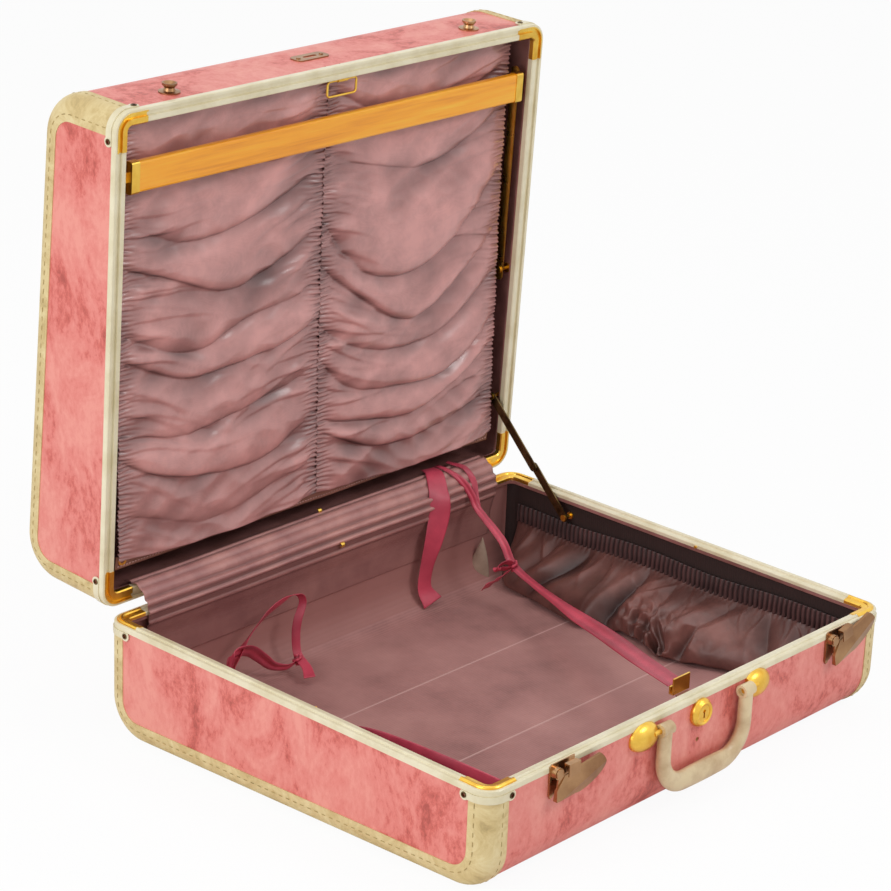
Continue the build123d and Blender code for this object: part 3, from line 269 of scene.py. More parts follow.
def makeCloth(name, light, dark, threads, sheen, roughness, depth=0.35, shade=None, gloss=0.5):
    # woven cloth: crossing threads, uneven dye and a soft sheen; shade is the tone of the painted shade
    # in its folds, laid by the piece's own foldShading attribute, where 0 is full painted shade
    material, tree, shader = newMaterial(name)
    place = addNode(tree, "TexCoord").outputs["Object"]
    warp = addNode(tree, "TexWave", {"Scale": threads, "Distortion": 0.6, "Detail": 1.0, "Vector": place},
                   bands_direction="X")
    weft = addNode(tree, "TexWave",
                   {"Scale": threads * 0.9, "Distortion": 0.6, "Detail": 1.0, "Vector": place},
                   bands_direction="Y")
    weave = addNode(tree, "Math", {0: warp.outputs["Fac"], 1: weft.outputs["Fac"]}, operation="ADD")
    dye = addNode(tree, "TexNoise", {"Scale": 22.0, "Detail": 5.0, "Roughness": 0.6, "Vector": place})
    level = addNode(tree, "Math", {0: weave.outputs[0], 1: 0.03}, operation="MULTIPLY")
    level = addNode(tree, "Math", {0: dye.outputs["Fac"], 1: level.outputs[0]}, operation="ADD")
    colour = addNode(tree, "ValToRGB", {"Fac": level.outputs[0]}, stops=[(0.38, dark), (0.68, light)])
    finish = colour.outputs["Color"]
    # painted shade: the cloth's colour is drawn toward the shade tone where foldShading is low
    if shade:
        foldShading = addNode(tree, "Attribute", attribute_name="foldShading")
        finish = addNode(tree, "MixRGB",
                         {"Color1": hexColour(shade), "Fac": foldShading.outputs["Fac"],
                          "Color2": finish}).outputs["Color"]
    bump = addNode(tree, "Bump", {"Strength": depth, "Distance": 0.0003, "Height": weave.outputs[0]})
    setInputs(tree, shader, {"Base Color": finish, "Normal": bump.outputs["Normal"], "Roughness": roughness,
                             "Sheen Weight": sheen, "Sheen Roughness": 0.4, "Specular IOR Level": gloss})
    return material


def makeFloorCloth(name):
    # ribbed rayon over card: fine ribs along X, two sewn lines across the floor, grey smudges
    look = {"ribPitch": 2.6, "seams": (0.088, -0.046), "seamWidth": 0.0011, "seamTop": 0.012,
            "seamTone": "#D9B0AA", "seamShare": 0.6,
            # each wall's painted shade starts beyond a place on an axis, and has its tone and how strongly it is
            # laid
            "wallShade": (("Y", 0.206, "#A26C65", 0.8), ("X", 0.2535, "#27130F", 1.0))}
    material, tree, shader = newMaterial(name)
    place = addNode(tree, "TexCoord").outputs["Object"]
    axes = addNode(tree, "SeparateXYZ", {"Vector": place})
    rib = addNode(tree, "TexWave",
                  {"Scale": 1000 / look["ribPitch"] / 3.2, "Distortion": 0.4, "Vector": place},
                  bands_direction="Y")
    dye = addNode(tree, "TexNoise", {"Scale": 9.0, "Detail": 6.0, "Roughness": 0.62, "Vector": place})
    level = addNode(tree, "Math", {0: rib.outputs["Fac"], 1: 0.07}, operation="MULTIPLY")
    level = addNode(tree, "Math", {0: dye.outputs["Fac"], 1: level.outputs[0]}, operation="ADD")
    colour = addNode(tree, "ValToRGB", {"Fac": level.outputs[0]},
                     stops=[(0.34, "#8A5D59"), (0.50, "#A87570"), (0.72, "#BB8781")])
    seamed = colour.outputs["Color"]
    low = addNode(tree, "Math", {0: axes.outputs["Z"], 1: look["seamTop"]}, operation="LESS_THAN")
    for seam in look["seams"]:
        away = addNode(tree, "Math", {0: axes.outputs["Y"], 1: seam}, operation="SUBTRACT")
        away = addNode(tree, "Math", {0: away.outputs[0]}, operation="ABSOLUTE")
        near = addNode(tree, "Math", {0: away.outputs[0], 1: look["seamWidth"]}, operation="LESS_THAN")
        mask = addNode(tree, "Math", {0: near.outputs[0], 1: low.outputs[0]}, operation="MULTIPLY")
        mask = addNode(tree, "Math", {0: mask.outputs[0], 1: look["seamShare"]}, operation="MULTIPLY")
        seamed = addNode(tree, "MixRGB",
                         {"Color2": hexColour(look["seamTone"]), "Fac": mask.outputs[0],
                          "Color1": seamed}).outputs["Color"]
    # painted shade on the walls: the rear wall is drawn toward a darker brown, the end wall behind the pocket
    # almost to black
    for axis, limit, tone, amount in look["wallShade"]:
        beyond = addNode(tree, "Math", {0: axes.outputs[axis], 1: limit}, operation="GREATER_THAN")
        mask = addNode(tree, "Math", {0: beyond.outputs[0], 1: amount}, operation="MULTIPLY")
        seamed = addNode(tree, "MixRGB",
                         {"Color2": hexColour(tone), "Fac": mask.outputs[0],
                          "Color1": seamed}).outputs["Color"]
    bump = addNode(tree, "Bump", {"Strength": 0.25, "Distance": 0.0003, "Height": rib.outputs["Fac"]})
    setInputs(tree, shader, {"Base Color": seamed, "Normal": bump.outputs["Normal"], "Roughness": 0.62,
                             "Sheen Weight": 0.15})
    return material


def makeVarnishedBeech(name):
    # planed beech under amber varnish: long fine grain along X, glossy skin
    material, tree, shader = newMaterial(name)
    place = addNode(tree, "TexCoord").outputs["Object"]
    mapped = addNode(tree, "Mapping", {"Scale": (0.05, 1.0, 1.0), "Vector": place}).outputs["Vector"]
    grain = addNode(tree, "TexNoise",
                    {"Scale": 260.0, "Detail": 5.0, "Roughness": 0.6, "Distortion": 0.4, "Vector": mapped})
    broad = addNode(tree, "TexNoise", {"Scale": 50.0, "Detail": 2.0, "Vector": mapped})
    level = addNode(tree, "Math", {0: grain.outputs["Fac"], 1: 0.5}, operation="MULTIPLY")
    half = addNode(tree, "Math", {0: broad.outputs["Fac"], 1: 0.5}, operation="MULTIPLY")
    level = addNode(tree, "Math", {0: level.outputs[0], 1: half.outputs[0]}, operation="ADD")
    colour = addNode(tree, "ValToRGB", {"Fac": level.outputs[0]},
                     stops=[(0.35, "#E88C0A"), (0.50, "#FDA814"), (0.66, "#FFC030")])
    bump = addNode(tree, "Bump", {"Strength": 0.08, "Distance": 0.0003, "Height": grain.outputs["Fac"]})
    setInputs(tree, shader, {"Base Color": colour.outputs["Color"], "Normal": bump.outputs["Normal"],
                             "Roughness": 0.32, "Coat Weight": 0.3, "Coat Roughness": 0.12})
    return material


baseVinyl = makeMarbledVinyl("marbled vinyl base")
lidVinyl = makeMarbledVinyl("marbled vinyl lid")
leathercloth = makeLeathercloth("cream leathercloth")
creamEnamel = makeEnamel("cream stoved enamel", "#ECE3C4", "#DCD0AA", 0.30)
handleResin = makeEnamel("cast cream resin", "#E2CDA3", "#C2A278", 0.34)
polishedBrass = makeMetal("stamped brass", "#FFD968", "#DDA63A", 0.24, 0.24, 60.0)
brownedBrass = makeMetal("browned brass", "#CBA276", "#80583C", 0.24, 0.24, 16.0)
brownedSteel = makeMetal("browned steel strip", "#86704C", "#43341F", 0.30, 0.18, 60.0)
liningCloth = makeFloorCloth("ribbed rayon lining")
# the third colour given to a cloth, where there is one, is the painted shade laid into its folds
satinCloth = makeCloth("mauve acetate satin", "#DB9D98", "#B98480", 900.0, 0.0, 0.30, 0.03, "#4A2A29", 0.8)
hemCloth = makeCloth("brown hem tape", "#A5715F", "#7C5346", 700.0, 0.0, 0.6, 0.25)
pouchCloth = makeCloth("brown taffeta", "#8A5A52", "#603C36", 800.0, 0.0, 0.42, 0.12, "#221110")
elasticCloth = makeCloth("shirred brown taffeta", "#62403E", "#422A29", 600.0, 0.0, 0.5, 0.2, "#170C0C")
gussetCloth = makeCloth("mauve moire strip", "#A9746F", "#83554F", 700.0, 0.0, 0.45, 0.2)
railCloth = makeCloth("mauve moire rails", "#CC938B", "#A87370", 700.0, 0.0, 0.40, 0.2, "#744C48")
ribbonSatin = makeCloth("crimson satin ribbon", "#DB4F66", "#B93C52", 900.0, 0.0, 0.40, 0.12, "#6B1526")
reverseCloth = makeCloth("pocket reverse cloth", "#C2AC98", "#957F6D", 700.0, 0.0, 0.6, 0.2)
stitchThread = makeEnamel("waxed cotton thread", "#B89D63", "#9A8048", 0.7)
hemThread = makeEnamel("pink sewing thread", "#CFA19A", "#A97A72", 0.7)
birchPly = makeEnamel("birch plywood edge", "#CFA873", "#B08A58", 0.7)
varnishedBeech = makeVarnishedBeech("varnished beech")

finishes = {
    "base_cover": baseVinyl, "lid_cover": lidVinyl, "base_lining": liningCloth, "lid_lining": gussetCloth,
    "handle": handleResin, "hanger_bar": varnishedBeech, "lid_strikes": brownedBrass, "lid_hasp": brownedBrass,
    "latch_pins": brownedBrass, "stay_lower_link": brownedSteel, "stay_upper_link": brownedSteel,
    "clip_tab": gussetCloth,
}
for half in ("base_", "lid_"):
    finishes.update({
        half + "binding_left": leathercloth, half + "binding_right": leathercloth, half + "shell": birchPly,
        half + "rim": creamEnamel, half + "corner_guards": creamEnamel, half + "corner_caps": polishedBrass,
        half + "corner_rivets": brownedSteel, half + "lining_welt": gussetCloth,
    })
for hand in ("left", "right"):
    finishes.update({"latch_plate_" + hand: brownedBrass, "latch_leaf_" + hand: brownedBrass})
for nodeName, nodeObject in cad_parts.items():
    wanted = finishes.get(nodeName, polishedBrass)
    if not nodeObject.data.materials:
        nodeObject.data.materials.append(wanted)
    for slot in nodeObject.material_slots:
        slot.material = wanted
print("materials on", len(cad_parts), "nodes")

# ---- lid curtain: two swagged panels gathered on elastics ----
curtain = {
    "profile": ((-219.0, 25.5), (-120.0, 25.0), (-20.0, 22.0), (90.0, 17.0), (186.0, 11.5)),
    "half": 243.0, "top": -219.0, "bottom": 187.0, "gatherPitch": 4.2, "gatherWidth": 16.0, "proud": 13.5,
    "rows": 420, "edgeColumns": 16, "midColumns": 66, "seam": 0.2, "wander": 5.0, "footDrop": 6.0,
    "fullness": 2.0, "lead": 14.0, "leastFold": 9, "creases": (1.5, 0.8), "gatherHeight": 3.4, "gatherPucker": 1.2,
    # a fold comes out over this share of its height, then turns under
    "turnUnder": 0.74,
    # short tucks that run in from the sides, each measure drawn between two values; reach is a share of the width
    "tucks": 84, "tuckShift": 4, "tuckReach": (0.14, 0.46), "tuckFall": 110, "tuckHeight": (1.0, 3.8),
    "tuckWidth": (4, 9),
    # folds: (place down the panel, sag, lean, height); the foot's own fold hangs below the panel
    "footFold": (209.0, 8, 0, 9),
    "leftFolds": ((-172, 24, 4, 8), (-120, 26, -4, 8), (-76, 36, 6, 13), (-22, 28, -4, 8), (8, 30, 6, 12),
                  (62, 24, -6, 8), (100, 34, 6, 12), (150, 16, 4, 7)),
    "rightFolds": ((-190, 30, 4, 8), (-150, 44, -6, 10), (-86, 86, -10, 15), (-32, 66, 6, 9), (18, 52, -4, 9),
                   (62, 48, 4, 13), (100, 34, -6, 9), (136, 26, 4, 8)),
}


def curtainPanel(name, node, left, right, folds, seed):
    # across: s from 0 to 1; down: v in mm. Each swag's lower tuck follows v0 + sag*4s(1-s) + lean*(2s-1);
    # above it the cloth bellies out slowly, then turns under. Gathered edges break it into short puckers
    width = right - left
    edge = curtain["gatherWidth"] / width
    s = np.concatenate([np.linspace(0, edge, curtain["edgeColumns"], endpoint=False),
                        np.linspace(edge, 1 - edge, curtain["midColumns"], endpoint=False),
                        np.linspace(1 - edge, 1, curtain["edgeColumns"])])
    v = np.linspace(curtain["top"], curtain["bottom"], curtain["rows"])
    height = curtain["bottom"] - curtain["top"]
    S, V = np.meshgrid(s, v)
    rest = np.interp(V, *np.array(curtain["profile"]).T)
    near = np.exp(-(np.minimum(S, 1 - S) * width / curtain["gatherWidth"]) ** 2 * 1.3)
    middle = 4 * S * (1 - S)
    turn = curtain["turnUnder"]
    out = curtain["fullness"] * middle
    above = np.full_like(V, curtain["top"] - curtain["lead"])
    for number, (v0, sag, lean, tall) in enumerate((*folds, curtain["footFold"])):
        uneven = 0.85 + 0.3 * np.sin(S * (3.5 + number % 3) + number * 1.7 + seed)
        wander = waves(S * 7, V / 60, seed + 40 + number) * curtain["wander"]
        line = np.maximum(v0 + sag * middle + lean * (2 * S - 1) + wander, above + curtain["leastFold"])
        u = np.clip((V - above) / (line - above), 0, 1)
        belly = np.where(u < turn, np.sin(np.clip(u / turn, 0, 1) * np.pi / 2) ** 1.5,
                         np.cos(np.clip((u - turn) / (1 - turn), 0, 1) * np.pi / 2) ** 0.7)
        belly *= tall * uneven * (0.42 + 0.58 * middle ** 0.6)
        out = out + np.where((V > above) & (V <= line), belly, 0)
        above = line
    swag = out.copy()
    for k in range(curtain["tucks"]):
        v0 = curtain["top"] + (k + 0.5) * height / curtain["tucks"]
        v0 += rng.uniform(-curtain["tuckShift"], curtain["tuckShift"])
        side = rng.choice([0, 1])
        reach = np.exp(-(np.abs(S - side) / rng.uniform(*curtain["tuckReach"])) ** 2)
        line = v0 + rng.uniform(0, curtain["tuckFall"]) * np.abs(S - side) + wander
        tall = rng.uniform(*curtain["tuckHeight"])
        out += tall * reach * skewRidge(V - line, rng.uniform(*curtain["tuckWidth"]), 2.0) * (1 - near)
    # satin creases at every angle, sharper at their crests
    broad, fine = curtain["creases"]
    crests = 1 - 1.4 * np.abs(waves(S * 9 + V / 45, V / 16 + S * 7, seed + 5, 6))
    smaller = 1 - 1.4 * np.abs(waves(S * 22, V / 8, seed + 6, 6))
    out += (broad * crests + fine * smaller) * (1 - near)
    crumple = np.sin(2 * np.pi * V / curtain["gatherPitch"] + 1.3 * np.sin(S * width / 8 + V / 9) + seed)
    crumple += 0.5 * np.sin(2 * np.pi * V / (curtain["gatherPitch"] * 1.9) - S * width / 7)
    out = out * (1 - 0.62 * near) + near * (curtain["gatherHeight"] + curtain["gatherPucker"] * crumple)
    out = curtain["proud"] * np.tanh(out / curtain["proud"])
    X = left + S * width + crumple * 0.1 * near * np.where(S < 0.5, 1, -1)
    drop = curtain["footDrop"] * middle * ((V - curtain["top"]) / height) ** 8
    steep = np.abs(np.gradient(out, axis=0)) / np.gradient(v)[:, None]
    # painted shade and highlight: the satin is darkened where a fold turns steeply under, and brought up to its
    # own colour where it stands proud and along its crests
    foldShading = 0.34 + out / 15.0 - 0.42 * np.clip(steep - 0.45, 0, 1.6) + 0.14 * crests
    points = np.stack([X, V + drop, rest - out], axis=-1)
    uv = np.stack([S * width / 1000, V / 1000], axis=-1)
    mesh = gridMesh(name, lidToWorld(points), uv, foldShading)
    piece = addPiece(name, mesh, satinCloth, "lid", (node,), 0.5)
    print(name, "tallest fold", round(float(swag.max()), 1), "area m2", round(clothArea(piece), 4))
    return piece


half, seam = curtain["half"], curtain["seam"]
curtainLeft = curtainPanel("curtainLeft", "curtain_left", -half, seam, curtain["leftFolds"], 3)
curtainRight = curtainPanel("curtainRight", "curtain_right", seam, half, curtain["rightFolds"], 8)

hem = {
    "top": 184.5, "bottom": 197.6, "half": 243.0, "depth": 11.6, "ripple": 0.5, "bow": 0.6,
    "stitchLine": 194.6, "stitchPitch": 3.4, "stitch": (2.3, 1.1, 0.4), "stitchSink": 0.9,
}


def lozenges(name, centre, along, normal, size, material, body, toWorld):
    # one raised six-sided stitch at each centre, its length along the seam
    across = np.cross(normal, along)
    a, b, c = size[0] / 2, size[1] / 2, size[2]
    shape = np.array([[-a, 0, 0], [-a * 0.6, b, 0], [a * 0.6, b, 0], [a, 0, 0],
                      [a * 0.6, -b, 0], [-a * 0.6, -b, 0], [-a * 0.5, 0, c], [a * 0.5, 0, c]])
    faces = np.array([[0, 6, 1], [1, 6, 2], [6, 7, 2], [2, 7, 3], [3, 7, 4], [4, 7, 5], [5, 7, 6], [5, 6, 0]])
    frames = np.stack([along, across, normal], axis=1)
    points = centre[:, None, :] + shape @ frames
    allFaces = (faces[None] + np.arange(len(centre))[:, None, None] * len(shape)).reshape(-1, 3)
    mesh = bpy.data.meshes.new(name)
    points = toWorld(points)
    points[..., 2] = np.maximum(points[..., 2], 0.0)  # none goes through the ground
    mesh.from_pydata(points.reshape(-1, 3).tolist(), [], allFaces.tolist())
    mesh.update()
    return addPiece(name, mesh, material, body)


def hemTape():
    # flat tape along the curtain's foot, rippled a little across its width
    x = np.linspace(-hem["half"], hem["half"], 180)
    v = np.linspace(hem["top"], hem["bottom"], 10)
    X, V = np.meshgrid(x, v)
    W = hem["depth"] + waves(X / 24, V / 9, 5) * hem["ripple"] - hem["bow"] * np.cos((V - hem["top"]) / 12 * np.pi)
    points = lidToWorld(np.stack([X, V, W], axis=-1))
    mesh = gridMesh("curtainHem", points, np.stack([X, V], axis=-1) / 1000)
    piece = addPiece("curtainHem", mesh, hemCloth, "lid", ("curtain_hem",), 0.9)
    print("curtainHem area m2", round(clothArea(piece), 4))
    return piece


curtainHem = hemTape()
stitchX = np.arange(-hem["half"] + 3, hem["half"] - 2, hem["stitchPitch"])
stitchV = np.full_like(stitchX, hem["stitchLine"])
stitchDepth = hem["depth"] - hem["stitchSink"] + waves(stitchX / 24, stitchV / 9, 5) * hem["ripple"]
lozenges("hemStitch", np.stack([stitchX, stitchV, stitchDepth], axis=1),
         np.tile([1.0, 0.0, 0.0], (len(stitchX), 1)), np.tile([0.0, 0.0, -1.0], (len(stitchX), 1)),
         hem["stitch"], hemThread, "lid", lidToWorld)
print("curtain hung")

# ---- gusset over the hinge, sewn in cords ----
gusset = {
    "profile": ((244.0, 19.2), (232.0, 19.6), (226.0, 18.0), (220.0, 13.4), (214.6, 7.0), (211.2, 0.5),
                (210.6, -10.0), (213.6, -22.0), (216.8, -34.0), (217.4, -57.0)),
    "half": 229.0, "sink": 1.5, "shadedTo": 60,
    # ridges: (place down the strip, height, half width)
    "ridges": ((7.5, 1.9, 1.7), (16.0, 2.2, 4.2), (26.0, 2.5, 4.6), (36.0, 2.2, 2.4), (45.0, 2.0, 1.7),
               (55.5, 1.3, 2.0)),
    "clipTurn": (-20, 200), "clipHalfWidth": 2.2, "clipRadius": 2.3,
    "clips": (("lid", 8.0, 238.5, 21.4), ("base", 10.0, 209.0, -4.5)),
}


def gussetStrip():
    # profile carried along X, swollen along its outward normal at each ridge
    line = alongPath(gusset["profile"], 190)
    length = np.concatenate([[0], np.cumsum(np.linalg.norm(np.diff(line, axis=0), axis=1))])
    tangent = np.gradient(line, axis=0)
    tangent /= np.linalg.norm(tangent, axis=1)[:, None]
    outward = np.stack([tangent[:, 1], -tangent[:, 0]], axis=1)
    x = np.linspace(-gusset["half"], gusset["half"], 120)
    L, X = np.meshgrid(length, x, indexing="ij")
    shifted = L + 0.5 * waves(X / 60, L / 40, 4)
    swell = sum(height * np.exp(-np.abs((shifted - place) / width) ** 2.6)
                for place, height, width in gusset["ridges"])
    lift = swell - gusset["sink"] + 0.25 * waves(X / 35, L / 10, 6)
    Y = line[:, 0][:, None] + outward[:, 0][:, None] * lift
    Z = line[:, 1][:, None] + outward[:, 1][:, None] * lift
    points = baseToWorld(np.stack([X, Y, Z], axis=-1))
    # painted shade between the cords and a painted highlight on their tops, down to shadedTo; beyond it the strip
    # is held at one fixed share of that painted shade
    foldShading = np.where(L < gusset["shadedTo"], 0.15 + swell / 2.0, 0.45)
    mesh = gridMesh("hingeGusset", points, np.stack([X, L], axis=-1) / 1000, foldShading)
    piece = addPiece("hingeGusset", mesh, railCloth, None, (), 0.6, -1.0)
    print("hingeGusset strip mm", round(float(length[-1]), 1), "area m2", round(clothArea(piece), 4))
    return piece


def railClip(name, body, x, y, z):
    # narrow brass strip bent over a rail: an arc carried along X
    turn = np.radians(np.linspace(*gusset["clipTurn"], 14))
    wide = np.linspace(-gusset["clipHalfWidth"], gusset["clipHalfWidth"], 5)
    T, W = np.meshgrid(turn, wide, indexing="ij")
    radius = gusset["clipRadius"]
    points = np.stack([x + W, y - radius * np.sin(T), z + radius * np.cos(T)], axis=-1)
    mesh = gridMesh(name, baseToWorld(points))
    return addPiece(name, mesh, polishedBrass, body, (), 0.5)


for clipBody, clipX, clipY, clipZ in gusset["clips"]:
    railClip("railClip" + clipBody.title(), clipBody, clipX, clipY, clipZ)
hingeGusset = gussetStrip()
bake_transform(hingeGusset)
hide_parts("hinge_gusset")

# ---- side pocket: shirred elastic band and slack pouch ----
pocket = {
    "front": -190.0, "rear": 203.0, "wall": 259.0, "bandTop": 80.0, "bandHeight": 16.0, "pitch": 5.6,
    "sway": 3.0, "ripple": 1.4, "floor": 7.3, "span": 60, "sectionRows": 120, "rows": 360, "bandRows": 700,
    "puckerDepth": 1.4, "fullness": 4.0, "slack": (5.0, 1.6),
    # a crumpled heap on the floor: centre along the case, share down the bag, and the reach of both
    "heapAt": (-18, 0.62), "heapReach": (42, 0.24), "heapHeight": 6.0,
    # small creases under the band: how many, how far apart and shifted, lean, height
    "creaseCount": 24, "creaseStep": 16.3, "creaseShift": 5, "creaseLean": 60, "creaseHeight": (1.0, 3.2),
    # the ends draw in to the wall from this far off the pocket's middle
    "middle": 7, "drawFrom": 160, "drawOver": 36, "drawIn": 14, "drawUp": 4.5,
    # the bag's section at full reach: (share of the reach, height)
    "section": ((0.0, 66.0), (0.05, 60.0), (0.22, 52.0), (0.48, 43.0), (0.78, 32.0), (0.96, 20.0), (1.0, 12.0),
                (0.95, 8.2), (0.7, 7.6), (0.5, 7.6)),
    # how far the bag comes out over the floor along the case: (y, reach)
    "reach": ((-190, 26), (-150, 34), (-94, 48), (-60, 60), (-30, 67), (0, 52), (30, 46), (72, 64), (105, 56),
              (150, 44), (185, 40), (203, 30)),
    # creases run from the band down: (y at the band, lean, depth, width)
    "creases": ((36, 8, 11, 7), (104, 62, 9, 9), (-44, 14, 8, 6), (-76, 30, 8, 6), (-118, -12, 6, 7),
                (148, 30, 5, 7), (4, -16, 5, 5), (-22, 10, 5, 4)),
}


def bandSway(y):
    # the band's top edge hangs unevenly along the case
    return pocket["sway"] * np.sin((y - 20) / 110) + pocket["ripple"] * np.sin(y / 27) - 1.5


def pocketBand():
    # upright puckers: a rounded wave along the case, fullest at the band's lower edge
    y = np.linspace(pocket["front"], pocket["rear"], pocket["bandRows"])
    z = np.linspace(pocket["bandTop"], pocket["bandTop"] - pocket["bandHeight"] - 2, 16)
    Y, Z = np.meshgrid(y, z)
    down = (pocket["bandTop"] - Z) / pocket["bandHeight"]
    phase = 2 * np.pi * Y / pocket["pitch"] + 0.9 * np.sin(Y / 23) + 0.25 * np.sin(Z / 3 + Y / 11)
    fold = np.abs(np.sin(phase / 2)) ** 0.8
    X = pocket["wall"] - 0.6 - pocket["puckerDepth"] * (1 + down) * fold
    X -= 0.5 * np.sin(np.pi * np.clip(down, 0, 1))
    points = np.stack([X, Y, Z + bandSway(Y)], axis=-1) / 1000
    # painted shade: the band is darkened in the hollows between its puckers
    mesh = gridMesh("pocketBand", points, np.stack([Y, Z], axis=-1) / 1000, fold ** 1.5)
    piece = addPiece("pocketBand", mesh, elasticCloth, "base", ("side_pocket_elastic",), 0.4)
    print("pocketBand area m2", round(clothArea(piece), 4))
    return piece


def pocketPouch():
    # section swept along the case; slack bags between creases, and a crumpled heap at mid length
    span, count = pocket["span"], pocket["sectionRows"]
    section = alongPath([(a * span, b) for a, b in pocket["section"]], count)
    y = np.linspace(pocket["front"], pocket["rear"], pocket["rows"])
    Q, Y = np.meshgrid(np.linspace(0, 1, count), y, indexing="ij")
    reach = np.interp(Y, *np.array(pocket["reach"]).T)
    X = pocket["wall"] - section[:, 0][:, None] / span * reach
    Z = section[:, 1][:, None] + 0 * Y
    belly = np.sin(np.pi * np.clip(Q / 0.84, 0, 1)) ** 0.8
    broad, fine = pocket["slack"]
    bags = broad * waves(Y / 46, Q * 2.0, 12, 5) + fine * waves(Y / 13, Q * 5, 13, 7)
    lift = belly * (pocket["fullness"] + bags)
    crease = np.zeros_like(Y)
    for y0, lean, deep, width in pocket["creases"]:
        away = Y - (y0 + lean * Q + 6 * np.sin(Q * 5 + y0))
        shoulder = np.exp(-((np.abs(away) - 2.2 * width) / width) ** 2)
        crease += deep * (np.exp(-np.abs(away / width) ** 1.4) - 0.35 * shoulder)
    lift -= belly * crease
    (heapY, heapQ), (wideY, wideQ) = pocket["heapAt"], pocket["heapReach"]
    heap = np.exp(-((Y - heapY) / wideY) ** 2) * np.exp(-((Q - heapQ) / wideQ) ** 2)
    folds = 1 - 1.6 * np.abs(waves(Y / 10, Q * 9, 31, 6)) + 0.8 * (1 - 1.6 * np.abs(waves(Y / 5, Q * 17, 32, 6)))
    lift += pocket["heapHeight"] * heap * folds
    shift, most = pocket["creaseShift"], pocket["creaseLean"]
    for k in range(pocket["creaseCount"]):
        y0 = pocket["front"] + (k + 0.5) * pocket["creaseStep"] + rng.uniform(-shift, shift)
        away = Y - (y0 + rng.uniform(-most, most) * Q + 8 * np.sin(Q * 6 + k))
        deep = rng.uniform(*pocket["creaseHeight"])
        lift += deep * np.exp(-((Q - 0.16) / 0.20) ** 2) * skewRidge(away, 4.5, 1.8)
    top = np.exp(-(Q / 0.08) ** 2)
    puckers = np.abs(np.sin(np.pi * Y / pocket["pitch"] + 0.45 * np.sin(Y / 23)))
    lift = lift * (1 - top) + top * pocket["puckerDepth"] * puckers
    fromWall = np.clip((pocket["wall"] - X) / span, 0, 1)
    X = X - lift * (0.50 + 0.25 * fromWall)
    Z = Z + lift * (0.60 * fromWall + 0.25)
    Z = np.maximum(Z + bandSway(Y) * (1 - Q) ** 2, pocket["floor"] + 0.2 * waves(Y / 8, Q * 9, 3))
    shrink = np.clip((np.abs(Y - pocket["middle"]) - pocket["drawFrom"]) / pocket["drawOver"], 0, 1) ** 2
    X = X + shrink * pocket["drawIn"] * np.sin(np.pi * np.clip(Q, 0, 1)) ** 2
    Z = np.maximum(Z, pocket["floor"] + shrink * pocket["drawUp"])
    # painted shade: the taffeta is darkened in its creases and toward the bag's foot, and lighter where the cloth
    # is lifted
    foldShading = 0.62 + lift / 16 - 0.9 * np.clip(Q - 0.86, 0, 1) / 0.14 * 0.6
    points = np.stack([np.minimum(X, pocket["wall"] - 0.1), Y, Z], axis=-1) / 1000
    mesh = gridMesh("pocketPouch", points, np.stack([Y, Q * count], axis=-1) / 1000, foldShading)
    piece = addPiece("pocketPouch", mesh, pouchCloth, "base", ("side_pocket",), 0.5)
    print("pocketPouch area m2", round(clothArea(piece), 4))
    return piece


flap = {
    "top": (213.0, 210.0, 57.0), "corner": (203.0, 225.0, 17.0), "low": (219.0, 207.0, 9.0),
    "inside": (218.0, 203.0, 27.0), "belly": (-3.0, -2.0, 1.0), "cornerShare": 0.62,
}


def pocketFlap():
    # the pouch's rear corner turned up, showing the reverse of the cloth: straight from the top to the
    # corner and on to the foot, ruled across to a bent inner edge, and bellied out between
    top, corner, low, inside, belly = (np.array(flap[k]) for k in ("top", "corner", "low", "inside", "belly"))
    t = np.linspace(0, 1, 26)[:, None, None]
    u = np.linspace(0, 1, 14)[None, :, None]
    share = flap["cornerShare"]
    outer = np.where(t < share, top + (corner - top) * t / share,
                     corner + (low - corner) * (t - share) / (1 - share))
    inner = top * (1 - t) ** 2 + 2 * t * (1 - t) * inside + low * t ** 2
    points = outer * (1 - u) + inner * u + belly * 4 * u * (1 - u) * np.sin(np.pi * t)
    mesh = gridMesh("pocketFlap", points / 1000)
    return addPiece("pocketFlap", mesh, reverseCloth, "base", (), 0.5)


pocketBandPiece = pocketBand()
pocketPouchPiece = pocketPouch()
pocketFlapPiece = pocketFlap()
print("pocket made")

# ---- ribbons ----
# ways that a ribbon's width can point, in the case's frame
toCamera = (0.66, -0.75, 0.0)
overRail = (0.95, -0.2, 0.0)
lyingFlat = (0.75, -0.62, 0.2)

